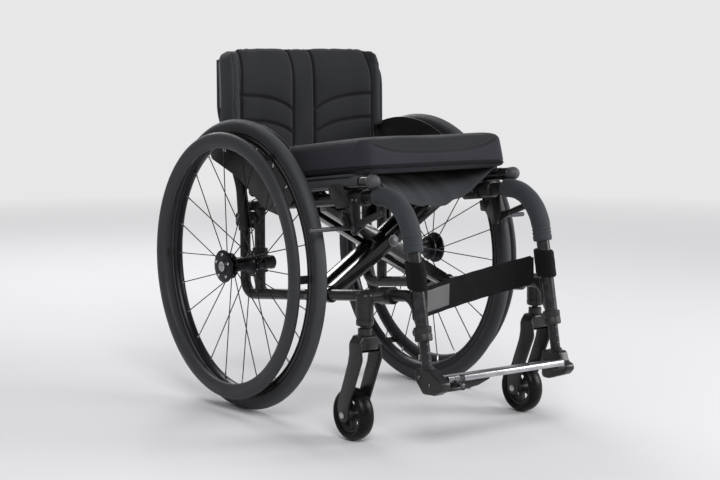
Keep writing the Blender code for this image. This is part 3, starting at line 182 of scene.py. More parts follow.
def grid(points, wrap_u=False, wrap_v=False, caps=False):
    """Shell over rows and columns of points, a quad from each point to the next both ways.

    UV is in metres: the mean distance gone across the rows, then along them.
    """
    rows, columns = points.shape[:2]
    gone = []
    for turn in (0, 1):
        step = np.linalg.norm(np.roll(points, -1, turn) - points, axis=2).mean(axis=1 - turn)
        gone.append(np.concatenate([[0], np.cumsum(step)]))
    u, v = np.meshgrid(np.arange(rows - (not wrap_u)), np.arange(columns - (not wrap_v)), indexing="ij")
    corners = [(u, v), (u, v + 1), (u + 1, v + 1), (u + 1, v)]
    quads = np.stack([(a % rows) * columns + b % columns for a, b in corners], axis=-1).reshape(-1, 4)
    uv = np.stack([np.stack([gone[0][a], gone[1][b]], axis=-1) for a, b in corners], axis=-2)
    ring = np.arange(columns)
    rings = [ring[::-1], (rows - 1) * columns + ring] if caps else []
    shell = Shell(points.reshape(-1, 3), quads, uv.reshape(-1, 4, 2), rings)
    return shell.outward() if caps or (wrap_u and wrap_v) else shell


def rounded(points, radius, steps, closed=False):
    """Path whose corners are arcs: an arc's spokes turn evenly from its first to its last."""
    points = [np.asarray(point, float) for point in points]
    count = len(points)
    inner = range(count) if closed else range(1, count - 1)
    share = np.linspace(0, 1, steps + 1)[:, None]
    parts = [] if closed else [points[:1]]
    for index, bend in zip(inner, np.broadcast_to(radius, len(inner))):
        corner = points[index]
        back, ahead = unit(points[index - 1] - corner), unit(points[(index + 1) % count] - corner)
        half = math.acos(back @ ahead) / 2
        centre = corner + unit(back + ahead) * bend / math.sin(half)
        first = corner + back * bend / math.tan(half) - centre
        last = corner + ahead * bend / math.tan(half) - centre
        sweep = math.pi - 2 * half
        spokes = np.sin((1 - share) * sweep) * first + np.sin(share * sweep) * last
        parts.append(centre + spokes / math.sin(sweep))
    return np.concatenate(parts if closed else parts + [points[-1:]])


def arc(centre, radius, start, end, steps):
    """Points of a flat arc in degrees: centre + radius (cos a, sin a)."""
    turn = np.radians(np.linspace(start, end, steps + 1))
    return np.asarray(centre) + radius * np.stack([np.cos(turn), np.sin(turn)], axis=1)


def evenly(path, spacing):
    """The path at even steps, read off the distance gone along it, and those distances."""
    gone = np.concatenate([[0], np.cumsum(np.linalg.norm(np.diff(path, axis=0), axis=1))])
    steps = np.linspace(0, gone[-1], max(2, round(gone[-1] / spacing) + 1))
    return np.stack([np.interp(steps, gone, path[:, k]) for k in range(3)], axis=1), steps


def swept(path, radius, sides, level=ACROSS, oval=1.0, closed=False):
    """Bar along a path: each ring is radius (cos a side + oval sin a above), square to the path."""
    path = np.asarray(path, float)
    run = unit(np.roll(path, -1, 0) - path) if closed else unit(np.diff(path, axis=0))
    before = np.roll(run, 1, 0) if closed else np.concatenate([run[:1], run])
    tangent = unit(before + (run if closed else np.concatenate([run, run[-1:]])))
    level = np.broadcast_to(level, path.shape)
    side = unit(level - (tangent * level).sum(1, keepdims=True) * tangent)
    above = np.cross(tangent, side)
    turn = whole_turn(sides)[None, :, None]
    ring = np.cos(turn) * side[:, None] + oval * np.sin(turn) * above[:, None]
    reach = np.broadcast_to(radius, len(path))[:, None, None]
    return grid(path[:, None] + reach * ring, closed, True, not closed)


def turned(profile, origin, axis, start=None, sides=40, closed=False):
    """Turned shell: origin + height axis + radius (cos a start + sin a square to both), a ring if closed."""
    axis = unit(axis)
    if start is None:
        start = UP if abs(axis[0]) > 0.9 else np.cross(axis, ACROSS)
    start = unit(start - (start @ axis) * axis)
    turn = whole_turn(sides)
    spoke = np.cos(turn)[:, None] * start + np.sin(turn)[:, None] * np.cross(axis, start)
    profile = np.asarray(profile, float)
    points = origin + profile[:, 1, None, None] * axis + profile[:, 0, None, None] * spoke[None]
    return grid(points, closed, True, not closed)


def bar(start, end, radius, edge=0.0006, sides=28):
    """Plain rod with broken edges."""
    length = np.linalg.norm(end - start)
    profile = [(radius - edge, 0), (radius, edge), (radius, length - edge), (radius - edge, length)]
    return turned(profile, start, end - start, sides=sides)


def prism(outline, thickness, place, edge, steps=3):
    """Plate: copies of the outline, moved in along its mitres and up its rounded edge, joined all round."""
    outline = np.asarray(outline, float)
    ahead = np.roll(outline, -1, 0) - outline
    if (outline[:, 0] * ahead[:, 1] - outline[:, 1] * ahead[:, 0]).sum() < 0:
        outline = outline[::-1]
        ahead = np.roll(outline, -1, 0) - outline
    normal = unit(np.stack([ahead[:, 1], -ahead[:, 0]], axis=1))
    before = np.roll(normal, 1, 0)
    mitre = (normal + before) / (1 + (normal * before).sum(1, keepdims=True))
    turn = np.linspace(0, math.pi / 2, steps + 1)
    inset = edge * (1 - np.sin(turn))
    sunk = edge * (1 - np.cos(turn)) - thickness / 2
    flat = outline - np.concatenate([inset, inset[::-1]])[:, None, None] * mitre
    height = np.concatenate([sunk, -sunk[::-1]])[:, None, None]
    origin, x_axis, y_axis = place
    points = origin + flat[..., :1] * x_axis + flat[..., 1:] * y_axis + height * np.cross(x_axis, y_axis)
    return grid(points, False, True, True)


def block(size, centre, x_axis=ACROSS, y_axis=BACK, edge=0.001):
    """Box with rounded edges, its size given along x_axis, y_axis and square to both."""
    half, deep = size[0] / 2, size[1] / 2
    corners = [(-half, -deep), (half, -deep), (half, deep), (-half, deep)]
    return prism(rounded(corners, edge * 1.2, 3, True), size[2], (centre, x_axis, y_axis), edge)


def copies(shell, count, origin, axis, first=0.0):
    """The shell turned round an axis count times: p cos a + (k x p) sin a + k (k . p)(1 - cos a)."""
    axis = unit(axis)
    turn = (first + whole_turn(count))[:, None, None]
    arm = (shell.points - origin)[None]
    along = (arm @ axis)[..., None] * axis
    points = origin + along + (arm - along) * np.cos(turn) + np.cross(axis, arm) * np.sin(turn)
    shift = np.arange(count)[:, None, None] * len(shell.points)
    rings = [ring + k * len(shell.points) for k in range(count) for ring in shell.rings]
    quads = (shell.quads[None] + shift).reshape(-1, 4)
    return Shell(points.reshape(-1, 3), quads, np.tile(shell.uv, (count, 1, 1)), rings)


def weld(centre, branch, base, radius, other, bead):
    """Bead where a bar meets another: the height h up the branch solves |h b + q| = other, square to base."""
    branch, base = unit(branch), unit(base)
    across = unit(np.cross(branch, base))
    turn = whole_turn(48)
    spoke = np.cos(turn)[:, None] * across + np.sin(turn)[:, None] * np.cross(branch, across)
    reach = radius * spoke
    flat = reach - (reach @ base)[:, None] * base
    rising = branch - (branch @ base) * base
    a, b, c = rising @ rising, flat @ rising, (flat * flat).sum(1) - other**2
    height = (np.sqrt(b * b - a * c) - b) / a
    ripple = bead * (1 + 0.14 * np.sin(turn * 24))
    return swept(centre + height[:, None] * branch + reach, ripple, 8, spoke, 1.0, True)


def bolt(origin, axis, radius, height=0.0028):
    """Button-head screw: a turned dome with its socket."""
    dome = [(1, 0), (1, 0.3), (0.86, 0.75), (0.62, 1), (0.52, 1), (0.48, 0.45)]
    return turned([(radius * r, height * h) for r, h in dome], origin, axis, sides=20)


def nut(origin, axis, radius, height):
    """Six-sided nut with broken corners."""
    profile = [(radius * 0.86, 0), (radius, height * 0.15), (radius, height * 0.85), (radius * 0.86, height)]
    return turned(profile, origin, axis, sides=6)


class Finish:
    """A material being wired: add() makes a node, and shade() sets or links the shader's sockets."""

    def __init__(self, name, **sockets):
        self.material = bpy.data.materials.new(name)
        self.material.use_nodes = True
        self.tree = self.material.node_tree
        self.shader = self.tree.nodes["Principled BSDF"]
        self.fill(self.shader, sockets)
        source = self.tree.nodes.new("ShaderNodeTexCoord")
        self.place, self.uv = source.outputs["Object"], source.outputs["UV"]

    def fill(self, node, sockets):
        """Sets numbers and links sockets, named with _ for a space or numbered as i0, i1."""
        for name, value in sockets.items():
            key = int(name[1:]) if name[0] == "i" and name[1:].isdigit() else name.replace("_", " ")
            if isinstance(value, bpy.types.NodeSocket):
                self.tree.links.new(value, node.inputs[key])
            else:
                node.inputs[key].default_value = value

    def add(self, kind, sockets, **settings):
        """A shader node and its first output."""
        node = self.tree.nodes.new(f"ShaderNode{kind}")
        for name, value in settings.items():
            setattr(node, name, value)
        self.fill(node, sockets)
        return node.outputs[0]

    def maths(self, operation, first, second=0.0, third=0.0):
        """One Math node."""
        return self.add("Math", {"i0": first, "i1": second, "i2": third}, operation=operation)

    def ripples(self, value, pitch):
        """The sine of a value in metres, that comes round once in each pitch."""
        return self.maths("SINE", self.maths("MULTIPLY", value, math.tau / pitch))

    def stored(self, name):
        """A number stored at each point of the piece."""
        return self.add("Attribute", {}, attribute_name=name).node.outputs["Fac"]

    def clouded(self, share, colour, low, high):
        """A colour that drifts between two shares of itself."""
        return self.mix(share, scaled(colour, low), scaled(colour, high))

    def noise(self, scale, detail=3.0, stretch=None):
        """Noise over the piece, stretched by a Mapping's scale where one is given."""
        vector = self.add("Mapping", {"Vector": self.place, "Scale": stretch}) if stretch else self.place
        return self.add("TexNoise", {"Vector": vector, "Scale": scale, "Detail": detail})

    def between(self, value, low, high, to_low=0.0, to_high=1.0):
        """The value taken from one range to another, and held at its ends."""
        sockets = {"Value": value, "From_Min": low, "From_Max": high, "To_Min": to_low, "To_Max": to_high}
        return self.add("MapRange", sockets)

    def mix(self, share, first, second):
        """A colour between two, three numbers or sockets each."""
        colours = [c if isinstance(c, bpy.types.NodeSocket) else (*c[:3], 1) for c in (first, second)]
        node = self.tree.nodes.new("ShaderNodeMix")
        node.data_type = "RGBA"
        self.fill(node, {"i0": share, "i6": colours[0], "i7": colours[1]})
        return node.outputs[2]

    def bump(self, height, depth, strength):
        """A normal from heights that are shares of a depth in metres."""
        return self.add("Bump", {"Height": height, "Distance": depth, "Strength": strength})

    def covered(self, colour, rough, relief, span=(0.3, 0.7)):
        """The finished material: roughness goes from low to high as its share crosses the span.

        rough is share, low and high, and relief is a bump's height, depth and strength.
        """
        share, low, high = rough
        rough = self.between(share, *span, low, high)
        return self.shade(Base_Color=colour, Roughness=rough, Normal=self.bump(*relief))

    def shade(self, **sockets):
        """The finished material."""
        self.fill(self.shader, sockets)
        return self.material


def scaled(colour, share):
    """A colour's first three numbers, each times share."""
    return tuple(channel * share for channel in tuple(colour)[:3])


def paint(name, colour, roughness=0.3, wear=0.12, coat=0.15):
    """Powder coat: fine orange peel, patchy gloss, and edges rubbed paler."""
    finish = Finish(name, Metallic=0.0, IOR=1.5, Coat_Weight=coat, Coat_Roughness=0.06, Specular_IOR_Level=0.3)
    patches = finish.noise(28.0, 4.0)
    peel = finish.noise(1400.0, 1.0)
    edge = finish.add("NewGeometry", {}).node.outputs["Pointiness"]
    rubbed = finish.between(edge, 0.53, 0.6, 0.0, wear)
    rubbed = finish.maths("MULTIPLY", rubbed, finish.between(finish.noise(90.0), 0.4, 0.7))
    base = finish.clouded(patches, colour, 0.75, 1.3)
    base = finish.mix(rubbed, base, (0.2, 0.2, 0.21))
    return finish.covered(base, (patches, roughness - 0.05, roughness + 0.09), (peel, 0.00006, 0.5), (0.3, 0.75))


def foam(name, colour):
    """Closed-cell foam: fine cells, cloudy grey, and scuffed patches."""
    finish = Finish(name, Metallic=0.0, Sheen_Weight=0.1, Sheen_Roughness=0.5, Specular_IOR_Level=0.25)
    cells = finish.add("TexVoronoi", {"Vector": finish.place, "Scale": 900.0})
    clouds = finish.noise(34.0, 5.0)
    return finish.covered(finish.clouded(clouds, colour, 0.72, 1.3), (clouds, 0.62, 0.8), (cells, 0.00022, 0.45))


def tyre_rubber(name, colour):
    """Tyre rubber: a cloudy dusty tone, the crown mixed paler than the walls, and fine moulding lines on the walls.
    """
    finish = Finish(name, Metallic=0.0, Specular_IOR_Level=0.3)
    place = finish.add("Mapping", {"Vector": finish.place, "Location": (0, -AXLE_Y, -AXLE_Z)})
    parts = finish.add("SeparateXYZ", {"Vector": place}).node
    flat = finish.add("CombineXYZ", {"Y": parts.outputs["Y"], "Z": parts.outputs["Z"]})
    reach = finish.add("VectorMath", {"i0": flat}, operation="LENGTH").node.outputs["Value"]
    crown = finish.between(reach, AXLE_Z - 0.0085, AXLE_Z - 0.0015)
    lines = finish.ripples(reach, 0.0024)
    lines = finish.between(lines, 0.6, 1.0, 0.0, 0.25)
    lines = finish.maths("MULTIPLY", lines, finish.maths("SUBTRACT", 1.0, crown))
    dust = finish.noise(60.0, 5.0)
    base = finish.clouded(dust, colour, 0.8, 1.3)
    # The crown is mixed up to about 1.7 times paler than the walls.
    base = finish.mix(finish.maths("MULTIPLY", crown, 0.6), base, scaled(colour, 2.2))
    return finish.covered(base, (dust, 0.52, 0.68), (lines, 0.0009, 0.8))


def soft_tyre(name, colour):
    """Smooth caster rubber with specks of dust."""
    finish = Finish(name, Metallic=0.0, Specular_IOR_Level=0.16)
    dust, grain = finish.noise(120.0, 6.0), finish.noise(700.0, 2.0)
    base = finish.clouded(dust, colour, 0.8, 1.5)
    return finish.covered(base, (dust, 0.26, 0.42), (grain, 0.00015, 0.4), (0.35, 0.65))


def plastic(name, colour, roughness=0.42):
    """Moulded plastic: a fine spark-eroded grain and faint flow marks."""
    finish = Finish(name, Metallic=0.0, IOR=1.46, Specular_IOR_Level=0.4)
    flow, grain = finish.noise(18.0, 3.0, stretch=(1, 1, 3)), finish.noise(2200.0, 1.0)
    base = finish.clouded(flow, colour, 0.8, 1.25)
    return finish.covered(base, (flow, roughness - 0.07, roughness + 0.1), (grain, 0.00008, 0.6))


def metal(name, colour, roughness, stretch=(1, 40, 40), grain=220.0):
    """Bare metal: brushed along one way, with dull spots and hairline scratches."""
    finish = Finish(name, Metallic=1.0)
    brushed = finish.noise(grain, 4.0, stretch=stretch)
    dull = finish.noise(40.0, 4.0)
    base = finish.clouded(finish.between(dull, 0.35, 0.7), colour, 1.0, 0.82)
    return finish.covered(base, (brushed, roughness - 0.06, roughness + 0.1), (brushed, 0.00005, 0.35))


def cloth(name, colour, pitch=0.0011, seams=True, tint=None):
    """Woven cover: threads over and under as sin u sin v, with painted shade where they dip under, cloudy dye, and
    stitched seams with painted shade in their grooves.

    The seam attribute is the distance to the nearest seam, and stitch the distance along it, in metres.
    """
    finish = Finish(name, Metallic=0.0, Sheen_Weight=0.12, Sheen_Roughness=0.4, Specular_IOR_Level=0.2)
    parts = finish.add("SeparateXYZ", {"Vector": finish.place}).node.outputs
    warp = finish.ripples(parts["X"], 2 * pitch)
    weft = finish.ripples(finish.maths("ADD", parts["Y"], parts["Z"]), 2 * pitch)
    over = finish.between(finish.maths("MULTIPLY", warp, weft), -1.0, 1.0)
    clouds = finish.noise(9.0, 5.0)
    fuzz = finish.noise(1500.0, 2.0)
    shade = finish.clouded(clouds, colour, 0.82, 1.2)
    # Painted shade: the colour drops to 0.7 of itself where the threads dip under.
    shade = finish.mix(finish.between(over, 0.2, 0.8, 0.0, 0.35), scaled(colour, 0.7), shade)
    height = finish.maths("ADD", over, finish.maths("MULTIPLY", fuzz, 0.5))
    normal = finish.bump(height, 0.00018, 0.55)
    if tint:
        shade = finish.mix(finish.stored("border"), shade, scaled(tint, 1.0))
    if seams:
        distance = finish.stored("seam")
        groove = finish.between(distance, 0.0012, 0.0046)
        dash = finish.ripples(finish.stored("stitch"), 0.0042)
        thread = finish.maths("COMPARE", distance, 0.0062, 0.0005)
        thread = finish.maths("MULTIPLY", thread, finish.between(dash, -0.3, 0.1))
        # Painted shade: the seam grooves are darkened to 0.22 of the cloth colour.
        shade = finish.mix(groove, scaled(colour, 0.22), shade)
        shade = finish.mix(finish.maths("MULTIPLY", thread, 0.25), shade, scaled(colour, 1.7))
        height = finish.maths("ADD", groove, thread)
        normal = finish.add("Bump", {"Height": height, "Distance": 0.0008, "Normal": normal})
    return finish.shade(Base_Color=shade, Roughness=finish.between(clouds, 0.3, 0.7, 0.78, 0.92), Normal=normal)


def webbing(name, colour, ribs=0.0016):
    """Woven strap: ribs along the strap, crossed by a finer weft, read off the strap's own UV, with painted shade
    in the hollows between the ribs.
    """
    finish = Finish(name, Metallic=0.0, Sheen_Weight=0.03, Sheen_Roughness=0.5, Specular_IOR_Level=0.1)
    parts = finish.add("SeparateXYZ", {"Vector": finish.uv}).node.outputs
    weft = finish.ripples(parts["Y"], ribs * 0.6)
    height = finish.maths("ADD", finish.ripples(parts["X"], ribs), finish.maths("MULTIPLY", weft, 0.4))
    clouds = finish.noise(30.0, 4.0)
    shade = finish.clouded(clouds, colour, 0.8, 1.25)
    # Painted shade: the colour drops to 0.6 of itself in the hollows of the ribs.
    shade = finish.mix(finish.between(height, -1.2, 0.4), scaled(colour, 0.6), shade)
    return finish.covered(shade, (clouds, 0.72, 0.9), (height, 0.0002, 0.6))


def floor_finish(name, colour):
    """Pale floor that thins out to clear between two distances from its middle."""
    finish = Finish(name, Roughness=0.75, Specular_IOR_Level=0.2)
    reach = finish.add("VectorMath", {"i0": finish.place}, operation="LENGTH").node.outputs["Value"]
    return finish.shade(
        Base_Color=finish.clouded(finish.noise(1.4, 3.0), colour, 0.985, 1.0),
        Alpha=finish.between(reach, 1.6, 5.0, 1.0, 0.0),
    )


def finish_of(name):
    """The material of one finish, made the first time that a piece asks for it."""
    found = bpy.data.materials.get(name)
    if found:
        return found
    tone = bpy.context.scene.wheelchair_finishes
    makers = {
        "satin_black": (paint, tone.frame_paint),
        "gloss_black": (paint, scaled(tone.frame_paint, 0.8), 0.16, 0.06, 0.9),
        "anodised_black": (metal, (0.035, 0.035, 0.038), 0.34),
        "handrim_coat": (plastic, tone.handrim, 0.5),
        "foam_grey": (foam, tone.foam),
        "tyre_rubber": (tyre_rubber, tone.tyre),
        "caster_rubber": (soft_tyre, scaled(tone.tyre, 0.1)),
        "grip_rubber": (soft_tyre, tone.grip),
        "moulded_black": (plastic, tone.plastic),
        "guard_black": (plastic, scaled(tone.plastic, 0.8), 0.3),
        "polished_alloy": (metal, tone.alloy, 0.26),
        "bright_steel": (metal, (0.55, 0.55, 0.56), 0.22, (40, 40, 40), 60.0),
        "dark_steel": (metal, (0.16, 0.16, 0.17), 0.35, (30, 30, 30), 60.0),
        "cover_cloth": (cloth, tone.cloth),
        "cushion_cloth": (cloth, tone.cloth, 0.0012, True, tone.cushion_border),
        "sling_cloth": (cloth, tone.sling, 0.0014, False),
        "flap_cloth": (cloth, scaled(tone.flap, 0.24), 0.0014, False),
        # The flap roll is the flap colour at full strength, a painted highlight beside the darker flap cloth.
        "flap_roll": (cloth, tone.flap, 0.0014, False),
        "cap_grey": (plastic, tone.cap, 0.5),
        "strap_web": (webbing, tone.strap),
        "patch_grey": (webbing, tone.patch, 0.0012),
        "binding": (webbing, scaled(tone.cloth, 0.45), 0.0012),
    }
    maker, *values = makers[name]
    return maker(name, *values)


def placed(name, data):
    """A new object in the scene."""
    piece = bpy.data.objects.new(name, data)
    bpy.context.scene.collection.objects.link(piece)
    return piece


def build(name, body, nodes, parts, sharp=38):
    """Object from the shells listed under each finish, smooth but for its sharper edges, on its body."""
    mesh = bpy.data.meshes.new(name)
    points, faces, uv, finishes, shift = [], [], [], [], 0
    for index, (finish, shells) in enumerate(parts.items()):
        mesh.materials.append(finish_of(finish))
        for shell in shells:
            corners = sum(len(ring) for ring in shell.rings)
            points.append(shell.points)
            faces += (shell.quads + shift).tolist() + [(ring + shift).tolist() for ring in shell.rings]
            uv += [shell.uv.reshape(-1, 2), np.zeros((corners, 2))]
            finishes += [index] * (len(shell.quads) + len(shell.rings))
            shift += len(shell.points)
    mesh.from_pydata(np.concatenate(points).tolist(), [], faces)
    mesh.polygons.foreach_set("material_index", finishes)
    mesh.uv_layers.new(name="UVMap").data.foreach_set("uv", np.concatenate(uv).ravel())
    mesh.shade_smooth()
    mesh.set_sharp_from_angle(angle=math.radians(sharp))
    piece = placed(name, mesh)
    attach(piece, body)
    if nodes:
        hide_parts(*nodes)
    return piece


def home_of(word):
    """The body of that side's frame."""
    return "frame" if word == "right" else "left_frame"


def side_piece(word, name, node, parts, body=None):
    """A piece that stands for one side's node, on that side's frame or on a body of its own."""
    build(f"{word}_{name}", body or home_of(word), [f"{word}_{node}"], parts)


def clamp_ring(rear, front, inner, outer, edge=0.0007):
    """Ring between two points of a sloped tube's line, turned from a closed profile with broken outer edges."""
    long = np.linalg.norm(front - rear)
    wall = [(inner, 0), (outer - edge, 0), (outer, edge), (outer, long - edge), (outer - edge, long), (inner, long)]
    return turned(wall, rear, FORWARD, closed=True)


def mirrored(half):
    """A profile of radius and distance, and its mirror image read backwards."""
    return half + [(radius, -distance) for radius, distance in half[::-1] if distance]


def thickened(piece, thickness, offset=0.0):
    """Gives a sheet its wall."""
    wall = piece.modifiers.new("thickness", "SOLIDIFY")
    wall.thickness, wall.offset = thickness, offset


def folded(piece):
    """Gives a soft piece its own copy of its mesh."""
    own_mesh(piece)


def side_frame(word, side, size):
    """Leg, bend and top tube swept as one, the lower loop, the upright, their weld beads and the end plug."""
    x = side * FRAME_X
    low = on_leg(x, LEG_BOTTOM_Z)
    socket = on_leg(x, FOOT_TUBE_HIGH_Z) + LEG_UP * 0.053
    deep = np.linalg.norm(socket - low)
    wall = [(MAIN_RADIUS, 0), (MAIN_RADIUS, deep), (0.0099, deep), (0.0099, 0)]
    rear = sloped(x, 0.055, TOP_RISE)
    spine = rounded([socket, frame_corner(x), rear], BEND_RADIUS, 20)
    loop = [
        sloped(x, 0.035, TOP_RISE),
        sloped(x, REAR_TUBE_Y, TOP_RISE),
        sloped(x, REAR_TUBE_Y),
        sloped(x, -0.475),
        on_leg(x, 0.237) + 0.004 * BACK,
    ]
    lip = MAIN_RADIUS + 0.0006
    plug = [(lip, -0.002), (lip + 0.0008, 0), (lip, 0.002), (0.0105, 0.0024)]
    foot, head = sloped(x, UPRIGHT_Y), sloped(x, UPRIGHT_Y, TOP_RISE)
    tubes = [
        turned(wall, low, LEG_UP, closed=True),
        swept(spine, MAIN_RADIUS, 36),
        swept(rounded(loop, [0.03, 0.03, 0.035], 12), LOOP_RADIUS, 32),
        swept(np.array([foot, head]), LOOP_RADIUS, 32),
        weld(foot, head - foot, FORWARD, LOOP_RADIUS, LOOP_RADIUS + 0.0002, size.weld_bead),
        weld(head, foot - head, FORWARD, LOOP_RADIUS, MAIN_RADIUS, size.weld_bead),
        weld(loop[-1], loop[-2] - loop[-1], LEG_UP, LOOP_RADIUS, MAIN_RADIUS - 0.0002, size.weld_bead),
        turned(plug, rear, -FORWARD),
    ]
    side_piece(word, "frame_tubes", "side_frame", {"satin_black": tubes})


def leg_sleeve(word, side, size):
    """Foam round the bend: the radius dips in three creases near the foot and draws in at both ends."""
    x = side * FRAME_X
    ends = [on_leg(x, 0.362), frame_corner(x), sloped(x, -0.3655, TOP_RISE)]
    path, gone = evenly(rounded(ends, BEND_RADIUS, 24), 0.0015)
    left = gone[-1] - gone
    radius = MAIN_RADIUS + size.sleeve_wall - 0.0016 * np.exp(-np.minimum(gone, left) / 0.0014)
    for crease in (0.012, 0.019, 0.026):
        radius = radius - 0.0011 * np.exp(-(((gone - crease) / 0.0012) ** 2))
    radius = radius + 0.0002 * np.sin(gone * 160 + side) * np.sin(gone * 71)
    side_piece(word, "sleeve_foam", "leg_sleeve", {"foam_grey": [swept(path, radius, 36)]})


def foot_collar(word, side):
    """Clamp ring on the leg's foot: a split, shouldered ring with its pinch bolt."""
    x = side * FRAME_X
    low = on_leg(x, LEG_BOTTOM_Z) - LEG_UP * 0.0043
    profile = [
        (0.0128, 0.027),
        (0.015, 0.027),
        (0.0165, 0.0255),
        (0.0165, 0.0165),
        (0.0158, 0.0155),
        (0.0158, 0.0125),
        (0.0165, 0.0115),
        (0.0165, 0.0022),
        (0.0145, 0.0),
        (0.0099, 0.0),
        (0.0099, 0.004),
        (0.0128, 0.004),
    ]
    ring = turned(profile, low, LEG_UP, closed=True, sides=44)
    ear = low + LEG_UP * 0.0135 + BACK * 0.0185
    lug = block((0.012, 0.011, 0.012), ear, ACROSS, np.cross(LEG_UP, ACROSS), 0.0015)
    screws = [bolt(ear + way * ACROSS * 0.006, way * ACROSS, 0.0036) for way in (-1, 1)]
    parts = {"moulded_black": [ring, lug], "dark_steel": screws}
    side_piece(word, "collar_clamp", "foot_collar", parts)


def rail_saddle(word, side):
    """Block on the top tube whose cup the seat rail drops into: one outline drawn square to the tube."""
    ring = MAIN_RADIUS + 0.0047
    away, up, cup = RAIL_X - FRAME_X, RAIL_RISE - TOP_RISE, RAIL_RADIUS + 0.0006
    outline = [
        (-ring, ring * 0.5),
        (-ring, -ring * 0.6),
        (-ring * 0.6, -ring),
        (ring * 0.7, -ring),
        (ring, -ring * 0.6),
        (away + cup + 0.0025, up * 0.5),
        (away + cup + 0.0025, up),
        *arc((away, up), cup, 0, -180, 14),
        (away - cup - 0.0025, up),
    ]
    middle = sloped(side * FRAME_X, -0.27, TOP_RISE)
    length = 0.046 / math.cos(SLOPE)
    body = prism(outline, length, (middle, side * ACROSS, RISE), 0.0008, 2)
    screws = [bolt(middle - side * ACROSS * ring + FORWARD * s, -side * ACROSS, 0.0036) for s in (-0.013, 0.013)]
    parts = {"moulded_black": [body], "dark_steel": screws}
    side_piece(word, "saddle_block", "rail_saddle", parts)


def foot_tube(word, side):
    """Inner foot tube with its row of height holes, drawn as shallow dark discs round their rims: a painted shade
    in place of the inside of each hole.
    """
    x = side * FRAME_X
    low, high = on_leg(x, FOOT_TUBE_LOW_Z), on_leg(x, FOOT_TUBE_HIGH_Z)
    # Painted shade: each hole is a dark steel disc on the tube, standing for the shade inside the hole.
    holes = [
        turned([(0.0026, -0.0001), (0.0026, 0.0002), (0.0018, 0.0002), (0.0016, 0.0)], centre, -BACK, sides=18)
        for centre in (low + LEG_UP * step + TOE * FOOT_TUBE_RADIUS for step in (0.03, 0.045, 0.06))
    ]
    parts = {"satin_black": [bar(low, high, FOOT_TUBE_RADIUS, 0.0008, 36)], "dark_steel": holes}
    side_piece(word, "foot_bar", "foot_tube", parts, body=f"{word}_foot")


def foot_bracket(word, side):
    """Casting under the foot tube: a rounded outline seen from the side, its socket rim and its screws."""
    x = side * FRAME_X
    near = [(-0.494, 0.153), (-0.494, 0.13), (-0.516, 0.108), (-0.548, 0.11)]
    near += [(-0.571, 0.121), (-0.571, 0.136), (-0.546, 0.148), (-0.536, 0.156)]
    far = [(-0.487, 0.152), (-0.487, 0.098), (-0.506, 0.098), (-0.548, 0.112)]
    far += [(-0.558, 0.122), (-0.556, 0.133), (-0.543, 0.136), (-0.536, 0.156)]
    outline = rounded(near if side < 0 else far, 0.0084, 8, True)
    shells = [prism(outline, 0.022, side_view(x), 0.0032, 4)]
    socket = on_leg(x, 0.1495)
    rim = [(0.0098, 0), (0.0125, 0), (0.0125, 0.007), (0.0112, 0.0085), (0.0098, 0.0085)]
    shells.append(turned(rim, socket, LEG_UP, closed=True))
    if side < 0:
        knuckle = plate_point(HINGE_X, 0.018, -HINGE_DROP)
        shells.append(bar(knuckle, knuckle + TOE * 0.012, 0.0078, 0.0012))
        start = x + 0.007
        web = HINGE_X - start
        middle = plate_point(start + web / 2, 0.024, -HINGE_DROP - 0.0037)
        shells.append(block((web, 0.012, 0.0062), middle, ACROSS, TOE, 0.0014))
        pin = plate_point(HINGE_X, -0.02, -HINGE_DROP)
        pins = [bar(pin, pin + TOE * 0.05, 0.004, 0.0008), bolt(knuckle + TOE * 0.0118, TOE, 0.0042, 0.001)]
    else:
        shelf_x, shelf_thick = 0.1255, 0.007
        length = x - shelf_x
        middle = plate_point(shelf_x + length / 2, 0.009, -PLATE_THICK / 2 - GAP - shelf_thick / 2)
        shells.append(block((length, 0.012, shelf_thick), middle, ACROSS, TOE, 0.0012))
        pins = []
    for y, z in ((-0.505, 0.138), (-0.535, 0.128)):
        pins.append(bolt(at(x + side * 0.011, y, z), side * ACROSS, 0.0042))
    parts = {"satin_black": shells, "dark_steel": pins}
    side_piece(word, "foot_casting", "foot_bracket", parts, body=f"{word}_foot")


def footplate():
    """One-piece plate with a rounded edge all round, and the arm under it that turns on the pin."""
    half = PLATE_HALF
    outline = [(-0.138, -half), (0.115, -half), (0.115, 0.0005), (0.13, 0.0005), (0.13, half)]
    outline += [(HINGE_X + 0.003, half), (HINGE_X + 0.003, 0.017), (-0.138, 0.017)]
    top = prism(rounded(outline, 0.003, 5, True), PLATE_THICK, (plate_point(0, 0), ACROSS, TOE), 0.0042, 7)
    build("footplate_alloy_plate", "footplate", ["footplate"], {"polished_alloy": [top]})
    under = HINGE_DROP - PLATE_THICK / 2 - GAP
    arm = [(-0.0055, 0.0055), *arc((0, 0), 0.0078, 150, 270, 8), (0.03, -0.0078), (0.06, -0.0047)]
    arm += [(0.089, under - 0.004), (0.089, under), (0, under)]
    middle = plate_point(HINGE_X, -0.01, -HINGE_DROP)
    body = prism(arm, 0.0194, (middle, ACROSS, LEG_UP), 0.0005, 1)
    screws = [bolt(middle + ACROSS * s - LEG_UP * 0.0072, -LEG_UP, 0.0036, 0.0022) for s in (0.026, 0.044)]
    parts = {"satin_black": [body], "dark_steel": screws}
    build("footplate_hinge_arm", "footplate", ["footplate_hinge"], parts)


